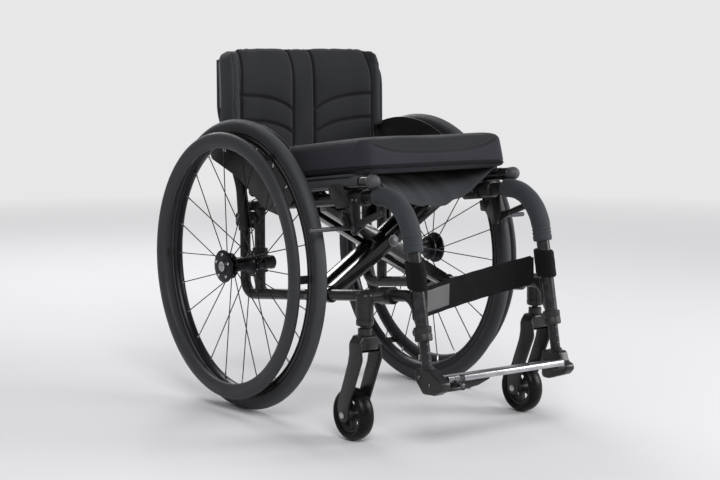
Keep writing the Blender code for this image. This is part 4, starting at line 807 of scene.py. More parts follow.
def seat_rail(word, side):
    """Seat rail and its ball-nosed front cap, each turned about the rail's line."""
    body = "cross_b" if side < 0 else "cross_a"
    x = side * RAIL_X
    front, rear = sloped(x, -0.372, RAIL_RISE), sloped(x, 0.045, RAIL_RISE)
    length = np.linalg.norm(front - rear)
    profile = [(0.0085, -0.0015), (0.0105, -0.001), (0.0112, 0.0), (0.0112, 0.0015), (RAIL_RADIUS, 0.002)]
    profile += [(RAIL_RADIUS, length - 0.0006), (RAIL_RADIUS - 0.0006, length)]
    rail = turned(profile, rear, FORWARD, sides=36)
    side_piece(word, "rail_bar", "seat_rail", {"gloss_black": [rail]}, body=body)
    back, ball = sloped(x, -0.34, RAIL_RISE), 0.0131
    long = np.linalg.norm(sloped(x, -0.384, RAIL_RISE) - back)
    start = long - ball - 0.0085
    collar = [(0.0113, 0), (0.0118, 0), (0.0124, 0.0006), (0.0124, start - 0.0008), (0.0113, start)]
    cap = [(0.0113, start), (0.0124, start), (ball, start + 0.0008)]
    cap += [(radius, height + long - ball) for height, radius in arc((0, 0), ball, 90, 2, 14)]
    parts = {"cap_grey": [turned(cap, back, FORWARD)], "gloss_black": [turned(collar, back, FORWARD)]}
    side_piece(word, "rail_plug", "rail_cap", parts, body)


def cross_half(letter, side, front, rear):
    """Half of the scissor brace: a sleeve on one lower tube and two arms up to the other side's seat rail."""
    along = -side * math.cos(ARM_ANGLE) * ACROSS + math.sin(ARM_ANGLE) * RISE
    above = math.cos(ARM_ANGLE) * RISE + side * math.sin(ARM_ANGLE) * ACROSS
    half, end = 0.0125, 0.338
    lug = [(0.014, -0.005), (0.024, -0.002), (0.038, -0.002), (0.046, -0.0105), (0.053, -0.0125), (0.053, 0.006)]
    lug += [(0.047, 0.0135), (0.032, 0.011), (0.007, 0.004), (-0.008, 0)]
    outline = [(0.0122, half), (0.0122, -half), (end, -half), (end + 0.007, -half + 0.0105)]
    outline += [(end + s, half + t) for s, t in lug]
    shells, dark = [], []
    for y in (front, rear):
        origin = sloped(side * FRAME_X, y)
        shells.append(prism(rounded(outline, 0.0012, 3, True), 2 * ARM_HALF, (origin, along, above), 0.0011, 3))
        for way in (-1, 1):
            face = origin + way * FORWARD * ARM_HALF
            dark.append(bolt(face + along * 0.368 + above * 0.012, way * FORWARD, 0.0034, 0.0016))
    width = ARM_HALF * math.cos(SLOPE)
    ends = [sloped(side * FRAME_X, y) for y in (rear + width, front - width)]
    shells.append(clamp_ring(*ends, 0.0114, 0.0155))
    parts = {"gloss_black": shells, "dark_steel": dark}
    build(f"cross_arms_{letter}", f"cross_{letter}", [f"cross_frame_{letter}"], parts)


def cross_pivot():
    """Pivot bolt through the four arms, with a domed head, washers and a nut."""
    middle = FRAME_X * math.tan(ARM_ANGLE)
    shift = middle * math.sin(SLOPE)
    half = ARM_HALF * math.cos(SLOPE) + GAP
    rear = sloped(0, CROSS_B_REAR + half + shift, middle)
    front = sloped(0, CROSS_A_FRONT - half + shift, middle)
    shells = [
        bar(rear, front, 0.005),
        turned([(0.012, 0), (0.012, 0.0012), (0.0085, 0.0013), (0.0085, 0.003), (0.006, 0.004)], front, FORWARD),
        turned([(0.012, 0), (0.012, 0.0012), (0.0075, 0.0013), (0.007, 0.002)], rear, -FORWARD),
        nut(rear - FORWARD * 0.0012, -FORWARD, 0.0075, 0.0028),
    ]
    build("cross_pivot_bolt", "cross_a", ["cross_pivot"], {"dark_steel": shells})


def axle_clamp(word, side):
    """Clamp round the upright, its web, and the turned boss for the quick-release axle."""
    x = side * FRAME_X
    collar = [(0.015, 0.025), (0.016, 0.024), (0.016, 0.003), (0.0152, 0.002), (0.0152, -0.002), (0.016, -0.003)]
    collar += [(0.016, -0.024), (0.015, -0.025), (0.0113, -0.025), (0.0113, 0.025)]
    boss = [(0.0128, 0.026), (0.014, 0.0248), (0.014, 0.0175), (0.0132, 0.0165), (0.0132, 0.0095), (0.014, 0.0085)]
    boss += [(0.014, 0.0012), (0.0128, 0), (0.0064, 0), (0.0064, 0.026)]
    shells = [
        turned(collar, at(x, UPRIGHT_Y, AXLE_Z), UP, closed=True),
        turned(boss, at(side * 0.1535, 0, AXLE_Z), side * ACROSS, closed=True),
        block((0.011, 0.0214, 0.0257), at(x, 0.0179, AXLE_Z), edge=0.0012),
    ]
    screws = []
    for z in (-0.016, 0.016):
        ear = at(x - side * 0.012, UPRIGHT_Y + 0.0125, AXLE_Z + z)
        shells.append(block((0.009, 0.009, 0.009), ear, edge=0.0012))
        screws.append(bolt(ear + BACK * 0.0045, BACK, 0.0032, 0.0024))
    parts = {"satin_black": shells, "dark_steel": screws}
    side_piece(word, "axle_clamp_body", "axle_clamp", parts)


def side_guard(word, side):
    """Guard: a thin sheet whose top is an arc over the axle, a rolled bead along it, standoffs and screws."""
    x = side * GUARD_X
    edge = arc((GUARD_BACK, AXLE_Z), GUARD_ARC, 122, 60, 30)
    low = [(-0.15, 0.44), (-0.105, 0.399), (-0.045, 0.409), (0.055, 0.466), edge[-1] - (0, 0.044)]
    lower = rounded([edge[0], *low, edge[-1]], [0.012, 0.03, 0.09, 0.12, 0.012], 8)
    sheet = prism(np.concatenate([lower, edge[-2:0:-1]]), 0.003, side_view(x), 0.0012, 3)
    line = arc((GUARD_BACK, AXLE_Z), GUARD_ARC - 0.0024, 122, 60, 48)
    bead = at(x + side * 0.0014, *line.T)
    shells = [sheet, swept(bead, 0.0023, 12)]
    places = (-0.085, sloped(0, -0.085, TOP_RISE)[2], FRAME_X + MAIN_RADIUS), (0.1063, 0.5222, CANE_X + CANE_RADIUS)
    for y, z, start in places:
        long = GUARD_X - start
        shells.append(block((long, 0.016, 0.014), at(side * (start + long / 2), y, z), edge=0.0012))
    screws = [bolt(at(x + side * 0.0015, y, z), side * ACROSS, 0.005, 0.0022) for y, z, start in places]
    parts = {"guard_black": shells, "bright_steel": screws}
    side_piece(word, "guard_panel", "side_guard", parts)


def back_cane(word, side):
    """Back tube with two bends, its plug, and the plate bolted to the upright and the rear tube."""
    x, out = side * CANE_X, side * ACROSS
    top = at(x, 0.143, 0.7065)
    corners = [at(x, 0.061, 0.357), at(x, 0.07, 0.445), at(x, 0.143, 0.6), top]
    tube = swept(rounded(corners, [0.09, 0.07], 14), CANE_RADIUS, 32)
    plug = turned([(0.0108, 0), (0.011, 0.0005), (0.0095, 0.0016), (0.005, 0.002)], top, UP)
    inner = FRAME_X + LOOP_RADIUS + GAP
    outline = [(0.032, 0.362), (0.109, 0.362), (0.109, 0.386), (0.095, 0.396), (0.045, 0.396), (0.032, 0.386)]
    bridge = prism(rounded(outline, 0.004, 4, True), 0.006, side_view(side * (inner + 0.003)), 0.0008)
    screws = [bolt(at(side * (inner + 0.006), y, 0.376), out, 0.005, 0.0035) for y in (UPRIGHT_Y, REAR_TUBE_Y)]
    screws += [bolt(at(x + side * 0.0105, 0.064, z), out, 0.0036, 0.002) for z in (0.372, 0.388)]
    parts = {"satin_black": [tube, bridge], "moulded_black": [plug], "dark_steel": screws}
    side_piece(word, "cane_tube", "back_cane", parts)


def brake(word, side):
    """Wheel lock: ring and cheek on the top tube, a lever with a ribbed grip, and the arm with its knurled rod."""
    x, cheek_x, out = side * FRAME_X, side * BRAKE_CHEEK_X, side * ACROSS
    rear, front = sloped(x, -0.3, TOP_RISE), sloped(x, -0.33, TOP_RISE)
    outline = [(-0.3005, 0.452), (-0.3295, 0.455), (-0.333, 0.398), (-0.322, 0.38), (-0.31, 0.38)]
    outline += [(-0.29, 0.403), (-0.272, 0.403), (-0.268, 0.424), (-0.3005, 0.427)]
    cheek = prism(rounded(outline, 0.0025, 4, True), 0.004, side_view(cheek_x), 0.0006, 2)
    pins = []
    for y, z in (TIP_PIVOT, LEVER_PIVOT):
        start = at(cheek_x, y, z)
        pins.append(bar(start, start + out * 0.0076, 0.0035))
        pins.append(bolt(start + out * 0.0066, out, 0.0058, 0.002))
    for y, z in ((-0.308, 0.446), (-0.322, 0.447)):
        pins.append(bolt(at(cheek_x + side * 0.002, y, z), out, 0.0034, 0.0016))
    parts = {"satin_black": [clamp_ring(rear, front, 0.0128, CLAMP_RADIUS), cheek], "dark_steel": pins}
    side_piece(word, "brake_mount", "brake_clamp", parts)
    arm_x = side * BRAKE_ARM_X
    y, z = LEVER_PIVOT
    arm = [(y + 0.008, z - 0.008), (y + 0.009, z + 0.003), (y, z + 0.01), (-0.345, 0.41)]
    arm += [(-0.357, 0.412), (-0.353, 0.4), (y - 0.008, z - 0.008)]
    lever = prism(rounded(arm, 0.0022, 4, True), 0.004, side_view(arm_x), 0.0007, 2)
    grip_x = arm_x + side * 0.0065
    start, end = at(grip_x, -0.345, 0.404), at(grip_x, -0.419, 0.432)
    long = np.linalg.norm(end - start)
    run = np.linspace(0, 1, 61)
    ribbed = (np.sin(run * 60) > 0.55) * (run > 0.3) * (run < 0.8)
    radius = 0.0058 + 0.0007 * np.sin(run * math.pi) - 0.00035 * ribbed
    radius *= np.sqrt(np.clip(1 - ((run - 0.94) / 0.06).clip(0, 1) ** 2, 0.03, 1)) * np.clip(0.8 + run * 8, 0, 1)
    grip = turned(np.stack([radius, run * long], axis=1), start, end - start, sides=28)
    parts = {"satin_black": [lever], "grip_rubber": [grip]}
    side_piece(word, "brake_handle", "brake_lever", parts, f"{word}_brake")
    y, z = TIP_PIVOT
    rod_y, rod_z = TIP_ROD
    arm = [(y - 0.006, z + 0.006), (y + 0.005, z + 0.006), (y + 0.007, z - 0.004), (rod_y + 0.007, rod_z - 0.003)]
    arm += [(rod_y, rod_z - 0.006), (rod_y - 0.006, rod_z - 0.001), (rod_y - 0.004, rod_z + 0.006)]
    plate = prism(rounded(arm, 0.002, 4, True), 0.004, side_view(arm_x), 0.0006, 2)
    reach = TIP_END_X - BRAKE_ARM_X
    run = np.linspace(0, reach, 90)
    knurl = np.where((run > reach * 0.45) & (np.arange(90) % 2 == 0), 0.00035, 0.0)
    profile = np.stack([0.0046 - knurl, run], axis=1)
    profile[[0, -1], 0] = 0.004
    rod = turned(profile, at(arm_x, rod_y, rod_z), out, sides=24)
    parts = {"satin_black": [plate], "dark_steel": [rod]}
    side_piece(word, "brake_rod", "brake_tip", parts, f"{word}_tip")


def rear_wheel(word, side, size):
    """Tyre, deep rim, spokes, hub and push ring, all turned or set round the wheel's axis."""
    body, hub_point, out = f"{word}_wheel", at(side * WHEEL_X, 0, AXLE_Z), side * ACROSS
    down = -side * UP

    def ring(profile, sides=128):
        """A closed profile of radius and distance outwards, turned about the axle."""
        return turned(profile, hub_point, out, down, sides, True)

    turn = np.radians(np.linspace(-84, 84, 43))
    half = 0.0135
    crown = AXLE_Z - half + (half - 0.0005 * np.exp(-(((np.abs(turn) - 0.62) / 0.05) ** 2))) * np.cos(turn)
    tread = list(zip(crown, half * np.sin(turn)))
    tread += mirrored([(0.2755, 0.0131), (0.2715, 0.0122), (0.2684, 0.0108)])
    tyre = ring(tread, 2 * size.tyre_ribs)
    arm = (tyre.points - hub_point) * (0, 1, 1)
    reach = np.linalg.norm(arm, axis=1, keepdims=True)
    valley = (np.arange(len(arm)) % 2)[:, None] * np.clip((reach - 0.2875) / 0.004, 0, 1) * size.rib_depth
    tyre.points = tyre.points - arm / reach * valley
    side_piece(word, "tyre_tread", "tyre", {"tyre_rubber": [tyre]}, body)
    half = [(0.268, 0.0115), (0.2655, 0.0115), (0.2645, 0.0109), (0.258, 0.0109), (0.257, 0.0114), (0.2555, 0.0113)]
    half += [(0.2525, 0.0086), (0.2508, 0.0056), (0.2501, 0.002)]
    section = mirrored(half)
    side_piece(word, "rim_extrusion", "rim", {"anodised_black": [ring(section)]}, body=body)
    turn = whole_turn(28)
    oval = np.stack([0.2535 + 0.016 * np.cos(turn), 0.04 + 0.0095 * np.sin(turn)], axis=1)
    tab_point = hub_point + down * 0.259 + out * 0.0264
    tab = block((0.004, 0.016, 0.0272), tab_point, down, BACK, 0.0008)
    screw = bolt(hub_point + down * 0.256 + out * 0.03, -down, 0.0028, 0.0016)
    tabs, screws = (
        copies(part, size.handrim_tabs, hub_point, out, math.pi / size.handrim_tabs) for part in (tab, screw)
    )
    parts = {"handrim_coat": [ring(oval, 144)], "satin_black": [tabs], "dark_steel": [screws]}
    side_piece(word, "push_ring", "handrim", parts, body=body)
    face = HUB_CAP_X - WHEEL_X
    hub = [(0.0064, face), (0.026, face), (0.0315, 0.0437), (0.033, 0.0425), (0.033, 0.0395), (0.0315, 0.0385)]
    hub += [(0.019, 0.036), (0.0155, 0.0335), (0.0145, 0.0305), (0.015, 0.0275), (0.0255, 0.0258), (0.026, 0.0252)]
    hub += [(0.026, 0.0226), (0.0255, 0.0221), (0.016, 0.02), (0.014, 0.016), (0.013, 0.0), (0.014, -0.02)]
    hub += [(0.016, -0.024), (0.0255, -0.0262), (0.026, -0.0267), (0.026, -0.0293), (0.0255, -0.0298)]
    hub += [(0.015, -0.032), (0.014, -0.035), (0.0125, -0.05), (0.0064, -0.05)]
    collar = [(0.0122, face), (0.0155, face), (0.0148, face + 0.0016), (0.0122, face + 0.0016)]
    cover = bolt(hub_point + down * 0.024 + out * face, out, 0.0036, 0.0022)
    shells, bright = [ring(hub, 56), ring(collar, 40)], [copies(cover, 5, hub_point, out)]
    pair = size.spokes // 2
    for flange, swing, first in ((0.024, 22.5, 1), (-0.028, -22.5, 0)):
        lean = math.radians(swing)
        foot = down * math.cos(lean) + BACK * math.sin(lean)
        start = hub_point + foot * 0.0222 + out * flange
        stop = hub_point + down * 0.2494
        way = unit(stop - start)
        spoke = swept(np.array([start, stop]), size.spoke_radius, 8)
        nipple = turned([(0.0012, -0.013), (0.0017, -0.012), (0.0019, 0.0), (0.0015, 0.0005)], stop, way, sides=10)
        head = turned([(0.0022, -0.0022), (0.0022, 0.0022), (0.0012, 0.0028)], start, out, sides=10)
        for group, part in ((shells, spoke), (bright, nipple), (bright, head)):
            group.append(copies(part, pair, hub_point, out, first * math.pi / pair))
    parts = {"anodised_black": shells, "bright_steel": bright}
    side_piece(word, "hub_and_spokes", "hub", parts, body=body)


def quick_axle(word, side):
    """Quick-release axle, and the push button in its bored head."""
    tip, out = at(side * AXLE_TIP_X, 0, AXLE_Z), side * ACROSS
    head, bore = 0.1258, 0.0045
    end = head + 0.0025
    profile = [(bore, end - 0.0135), (bore, end - 0.0004), (bore + 0.0004, end), (0.0095, end)]
    profile += [(0.0105, end - 0.001), (0.0105, head), (0.006, head - 0.0003), (0.006, 0.0015), (0.0045, 0)]
    pin = turned(profile, tip, out, sides=36)
    side_piece(word, "axle_pin", "axle", {"bright_steel": [pin]}, f"{word}_axle")
    outer = HUB_CAP_X + GAP + 0.0045
    dome = [(0.0042, 0), (0.0042, 0.0078), (0.0038, 0.0088), (0.0026, 0.0094), (0.001, 0.0095)]
    button = turned(dome, at(side * (outer - 0.0095), 0, AXLE_Z), out, sides=32)
    parts = {"polished_alloy": [button]}
    side_piece(word, "push_button", "release_button", parts, f"{word}_button")


def caster(word, side):
    """Caster: barrel on its arm, a fork of two leaning blades, a spoked hub, its tyre and its bolt."""
    x, out = side * CASTER_X, side * ACROSS
    low = at(x, CASTER_Y, 0.222)
    barrel = [(0.0135, 0), (0.0152, 0.0008), (0.0165, 0.0024), (0.0165, 0.011), (0.0158, 0.0118), (0.0158, 0.0132)]
    barrel += [(0.0165, 0.014), (0.0165, 0.052), (0.0158, 0.0528), (0.0158, 0.054), (0.0163, 0.0548)]
    barrel += [(0.016, 0.0575), (0.0135, 0.0612), (0.0095, 0.0628), (0.004, 0.063)]
    ends = [sloped(side * FRAME_X, CASTER_Y + s) for s in (0.018, -0.018)]
    arm_path = np.array([sloped(side * (FRAME_X + 0.008), CASTER_Y), sloped(side * (CASTER_X - 0.01), CASTER_Y)])
    shells = [
        turned(barrel, low, UP),
        clamp_ring(*ends, 0.0113, CLAMP_RADIUS),
        swept(arm_path, [0.0128, 0.0118], 28, FORWARD, 0.92),
    ]
    screws = [
        bolt(sloped(side * FRAME_X, CASTER_Y + s) - out * 0.0164, -out, 0.0032, 0.002)
        for s in (-0.01, 0.01)
    ]
    parts = {"satin_black": shells, "dark_steel": screws}
    side_piece(word, "caster_barrel", "caster_head", parts)
    foot = at(x, CASTER_Y, 0.172)
    stem = [(0.0125, 0.028), (0.013, 0.0285), (0.013, 0.045), (0.0122, 0.0454)]
    stem += [(0.006, 0.046), (0.006, 0.105), (0.0052, 0.1058)]
    half, shoulder = 0.0247, 0.0157
    crown = [(-half, 0.002), (half, 0.002), (half, 0.021), (shoulder, 0.033), (-shoulder, 0.033), (-half, 0.021)]
    crown = rounded(crown, [0.002, 0.002, 0.007, 0.006, 0.006, 0.007], 5, True)
    wheel_y = CASTER_Y + CASTER_TRAIL
    blade = [(CASTER_Y - 0.0175, 0.194), (CASTER_Y - 0.0225, 0.162), (wheel_y - 0.0165, 0.068)]
    blade += [(wheel_y - 0.013, 0.037), (wheel_y + 0.013, 0.037), (wheel_y + 0.0185, 0.068)]
    blade += [(CASTER_Y + 0.0205, 0.152), (CASTER_Y + 0.0165, 0.17), (CASTER_Y + 0.0165, 0.194)]
    blade = rounded(blade, [0.007, 0.02, 0.02, 0.011, 0.011, 0.02, 0.02, 0.01, 0.007], 6, True)
    blades = [prism(blade, 0.0055, side_view(x + way * 0.02225), 0.002, 4) for way in (-1, 1)]
    parts = {"satin_black": [turned(stem, foot, UP), prism(crown, 0.034, (foot, ACROSS, UP), 0.005, 5), *blades]}
    side_piece(word, "fork_casting", "caster_fork", parts, body=f"{word}_fork")
    hub_point = at(x, wheel_y, CASTER_RADIUS)

    def ring(profile, sides=64, closed=True):
        """A profile of radius and distance across, turned about the caster's bolt."""
        return turned(profile, hub_point, ACROSS, UP, sides, closed)

    turn = np.radians(np.linspace(-78, 78, 27))
    tread = list(zip(0.041 + 0.009 * np.cos(turn), 0.0165 * np.sin(turn)))
    tread += mirrored([(0.0378, 0.0155), (0.0343, 0.012)])
    parts = {"caster_rubber": [ring(tread, 96)]}
    side_piece(word, "caster_tread", "caster_tyre", parts, f"{word}_caster")
    boss = [(0.0044, 0.0192), (0.0085, 0.0192), (0.009, 0.0187), (0.0112, 0.007), (0.0118, 0.0)]
    felloe = [(0.034, 0.011), (0.0312, 0.011), (0.0288, 0.0072), (0.0268, 0.006), (0.0262, 0.0)]
    spoke = [(-0.0052, 0.009), (0.0052, 0.009), (0.004, 0.018)]
    spoke += [(0.0058, 0.0288), (-0.0058, 0.0288), (-0.004, 0.018)]
    spoke = prism(rounded(spoke, 0.0012, 3, True), 0.0125, (hub_point, BACK, UP), 0.0018, 3)
    spokes = copies(spoke, 5, hub_point, ACROSS, math.pi / 5)
    parts = {"moulded_black": [ring(mirrored(boss), 40), ring(mirrored(felloe), 72), spokes]}
    side_piece(word, "caster_spider", "caster_hub", parts, f"{word}_caster")
    reach = 0.0253
    pin = [(0.0045, -reach - 0.003), (0.0065, -reach - 0.0022), (0.0065, -reach), (0.004, -reach), (0.004, reach)]
    pin += [(0.0065, reach), (0.0065, reach + 0.0022), (0.0045, reach + 0.003)]
    pin += [(0.003, reach + 0.003), (0.0026, reach + 0.001)]
    parts = {"bright_steel": [ring(pin, 36, False)]}
    side_piece(word, "caster_bolt", "caster_axle", parts, f"{word}_fork")


def simulated(name, shell, voxel, pressure, reach, pins=None):
    """Stuffed shape from a closed shell: remeshed, blown up by the cloth solver, each point's move capped."""
    mesh = bpy.data.meshes.new(name)
    faces = shell.quads.tolist() + [ring.tolist() for ring in shell.rings]
    mesh.from_pydata(shell.points.tolist(), [], faces)
    source = placed(name, mesh)
    remesh = source.modifiers.new("voxels", "REMESH")
    remesh.mode = "VOXEL"
    remesh.voxel_size = voxel
    remesh.use_smooth_shade = True
    source.data = applied(source)
    source.modifiers.clear()
    rest = coordinates(source.data)
    cloth_solver = source.modifiers.new("stuffing", "CLOTH")
    settings = cloth_solver.settings
    settings.quality = 6
    settings.mass = 0.25
    settings.tension_stiffness = settings.compression_stiffness = 12
    settings.bending_stiffness = 0.6
    settings.use_pressure = True
    settings.uniform_pressure_force = pressure
    settings.effector_weights.gravity = 0
    if pins is not None:
        group = source.vertex_groups.new(name="stitched")
        held = pins(rest)
        group.add(np.flatnonzero(held > 0.5).tolist(), 1.0, "REPLACE")
        settings.vertex_group_mass = "stitched"
    for step in range(1, 21):
        bpy.context.scene.frame_set(step)
    blown = coordinates(applied(source))
    source.modifiers.clear()
    bpy.context.scene.frame_set(1)
    move = blown - rest
    moved = np.linalg.norm(move, axis=1, keepdims=True)
    move *= np.minimum(1, reach / np.maximum(moved, 1e-9))
    return source, rest + move


def applied(piece):
    """The mesh of a piece as its modifiers leave it."""
    graph = bpy.context.evaluated_depsgraph_get()
    return bpy.data.meshes.new_from_object(piece.evaluated_get(graph))


def triples(collection, name):
    """Three numbers of each member of a mesh's collection, as an array."""
    flat = np.zeros(len(collection) * 3)
    collection.foreach_get(name, flat)
    return flat.reshape(-1, 3)


def coordinates(mesh):
    """The points of a mesh as an array."""
    return triples(mesh.vertices, "co")


def normals(mesh):
    """The vertex normals of a mesh as an array."""
    return triples(mesh.vertex_normals, "vector")


def put(piece, points):
    """Moves the points of a piece to new places."""
    piece.data.vertices.foreach_set("co", points.ravel())
    piece.data.update()


def refined(piece, points):
    """The piece with its points moved and one subdivision applied."""
    put(piece, points)
    finer = piece.modifiers.new("finer", "SUBSURF")
    finer.levels = finer.render_levels = 1
    piece.data = applied(piece)
    piece.modifiers.clear()
    piece.data.shade_smooth()
    return coordinates(piece.data)


def paint_values(piece, **values):
    """Stores arrays of one number a point, for the material to read."""
    for name, value in values.items():
        layer = piece.data.attributes.new(name, "FLOAT", "POINT")
        layer.data.foreach_set("value", np.asarray(value, np.float32))


def to_line(points, line):
    """Distance from each point to a polyline, and how far along the line its nearest place is."""
    run = np.diff(line, axis=0)
    long = np.linalg.norm(run, axis=1)
    gone = np.concatenate([[0], np.cumsum(long)])
    nearest = np.full(len(points), np.inf)
    along = np.zeros(len(points))
    for start, step, size, before in zip(line, run, long, gone):
        share = np.clip((points - start) @ step / size**2, 0, 1)
        distance = np.linalg.norm(points - start - share[:, None] * step, axis=1)
        closer = distance < nearest
        nearest[closer] = distance[closer]
        along[closer] = before + share[closer] * size
    return nearest, along


def leaning(points, middle, half_wide, half_deep, thick):
    """The cushion's foot leans out, its far side by x^4 and its front by y^6, and that corner sinks by both."""
    place = points - middle
    low = np.clip(0.5 - (place @ RISE) / thick, 0, 1)[:, None]
    far = (np.clip(place @ ACROSS / half_wide, 0, 1) ** 4)[:, None]
    front = (np.clip(place @ FORWARD / half_deep, 0, 1) ** 6)[:, None]
    return points + low * (0.008 * far * ACROSS + 0.005 * front * FORWARD - 0.005 * far * front * RISE)


def cushion():
    """Foam cushion: a crowned box swelled by the cloth solver, with a curved front seam and piping.

    The blank is a stack of rounded outlines that narrow by e (1 - sin a) over the edges and close on a crown.
    """
    length = 0.395 / math.cos(SLOPE)
    wide, deep, thick = 0.352, length - 0.002, 0.0615
    middle = sloped(0, -0.346, 0.2315 + 0.0318) - FORWARD * length / 2
    corners = [(-wide / 2, -deep / 2), (wide / 2, -deep / 2), (wide / 2, deep / 2), (-wide / 2, deep / 2)]
    ring = rounded(corners, 0.022, 8, True)
    ring = np.pad(np.concatenate([ring, ring[:1]]), ((0, 0), (0, 1)))
    outline = evenly(ring, 0.006)[0][:-1, :2]
    turn = np.linspace(0, math.pi / 2, 7)
    edge, foot_edge = 0.011, 0.007
    inset = edge * (1 - np.sin(turn))
    sunk = edge * (1 - np.cos(turn)) - thick / 2
    low = foot_edge * (1 - np.cos(turn)) - thick / 2
    scale = np.concatenate([[0.02, 0.35, 0.7], np.ones(14), [0.9, 0.6, 0.3, 0.02]])
    level = np.concatenate([[-thick / 2] * 3, low, -sunk[::-1], thick / 2 + 0.003 * np.array([0.3, 0.8, 1.0, 1.0])])
    narrow = np.concatenate([[foot_edge] * 3, inset * 0.64, inset[::-1], [edge] * 4])
    reach = np.linalg.norm(outline, axis=1, keepdims=True)
    flat = outline * scale[:, None, None] * (1 - narrow[:, None, None] / reach)
    waist = 1 - 0.008 * np.exp(-((level / 0.012) ** 2))[:, None, None]
    points = middle + flat[..., :1] * waist * ACROSS - flat[..., 1:] * waist * FORWARD + level[:, None, None] * RISE
    blank = grid(points, False, True, True)
    piece, moved = simulated("seat_cushion_pad", blank, 0.005, 4.0, 0.0035)
    points = refined(piece, moved)
    place = np.stack([points @ ACROSS, (points - middle) @ FORWARD, (points - middle) @ RISE], axis=1)
    top, front = thick / 2, deep / 2
    seam_z = 0.0075 - top
    run = np.linspace(-1, 1, 61)
    across = 0.168 * run
    face = np.stack([across, np.full(61, front), top - 0.001 - 0.029 * (1 - np.abs(run) ** 3.5)], axis=1)
    lower = place[:, 2] < seam_z
    front_seam = to_line(place, face)
    ring = np.pad(outline * 1.0005, ((0, 0), (0, 1)), constant_values=top - 0.0045)
    ring[:, 1] *= -1
    ring = np.concatenate([ring, ring[:1]])
    behind = ring[:, 1] < front - 0.03
    edge_seam = to_line(place, ring[behind])
    bottom = np.abs(place[:, 2] - seam_z)
    side_face = np.abs(place[:, 0]) > wide / 2 - 0.016
    distance = np.where(front_seam[0] < 0.03, front_seam[0], 1.0)
    distance = np.minimum(distance, np.where(side_face | (place[:, 1] < -front + 0.016), edge_seam[0], 1.0))
    distance = np.minimum(distance, np.where(lower | (bottom < 0.02), bottom, 1.0))
    groove = 0.0019 * np.exp(-((distance / 0.0028) ** 2))
    dimple = 0.0012 * np.sin(place[:, 0] * 31 + 1) * np.sin(place[:, 1] * 23) * (place[:, 2] > top - 0.012)
    points = points - groove[:, None] * normals(piece.data) + dimple[:, None] * RISE
    shape = (middle, wide / 2, front, thick)
    put(piece, leaning(points, *shape))
    drop = np.interp(np.abs(place[:, 0]), across[30:], top - face[30:, 2])
    border = np.clip((top - drop - place[:, 2]) / 0.003, 0, 1) * (place[:, 1] > front - 0.02)
    border = np.maximum(border, side_face * np.clip((top - 0.006 - place[:, 2]) / 0.003, 0, 1))
    # The seam distance also darkens the cloth along its seam grooves, a painted shade.
    paint_values(piece, seam=distance, stitch=front_seam[1], border=border)
    finish_soft(piece, "cushion_cloth", "cushion", "seat_cushion")
    corner = np.prod(np.abs(outline / (wide / 2, deep / 2)) ** 10, axis=1, keepdims=True)
    piping = outline * (0.999 - 0.01 * corner / reach)
    piping = np.pad(piping, ((0, 0), (0, 1)), constant_values=seam_z)
    line = middle + piping[:, :1] * ACROSS - piping[:, 1:2] * FORWARD + piping[:, 2:] * RISE
    cord = swept(leaning(line, *shape), 0.0017, 10, RISE, 1.0, True)
    trim = build("cushion_piping", "cushion", [], {"binding": [cord]})
    for part in (piece, trim):
        folded(part)


def softened(value, power):
    """A sine or cosine's size to a power, with its sign: it squares a round section off."""
    return np.sign(value) * np.abs(value) ** power


def finish_soft(piece, finish, body, node):
    """Covers a soft piece, and puts it on its body in place of its node."""
    piece.data.materials.append(finish_of(finish))
    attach(piece, body)
    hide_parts(node)


def back_front(share, z):
    """The y of the back's front surface: hollow in the middle, wings forward, and a roll back at the top."""
    roll = np.clip((z - 0.665) / 0.066, 0, 1) ** 2
    return 0.1125 - 0.026 * np.abs(share) ** 2.2 + roll * (0.02 + 0.006 * np.abs(share))


def wing_seam(x, foot):
    """Height of a wing seam: foot + c (1 - exp(-(|x| - 0.028) / 0.045))."""
    return foot + (0.035 if foot > 0.58 else 0.032) * (1 - np.exp(-(np.abs(x) - 0.028) / 0.045))


def back_seams(points):
    """Distance to the nearest seam of the back's front, and along it, from x and z alone."""
    flat = points[:, [0, 2]]
    best, along = np.full(len(flat), 1.0), np.zeros(len(flat))
    run = np.linspace(0.028, 0.172, 30)
    lines = [np.array([(0.0285, 0.735), (0.0262, 0.675), (0.027, 0.6), (0.0275, 0.502)])]
    lines += [np.stack([run, wing_seam(run, foot)], axis=1) for foot in (0.6005, 0.5515)]
    lines.append(np.array([(0.16, 0.735), (0.1675, 0.665), (0.169, 0.502)]))
    halved = np.stack([np.abs(flat[:, 0]), flat[:, 1]], axis=1)
    for line in lines:
        distance, gone = to_line(halved, line)
        closer = distance < best
        best[closer], along[closer] = distance[closer], gone[closer]
    return best, along


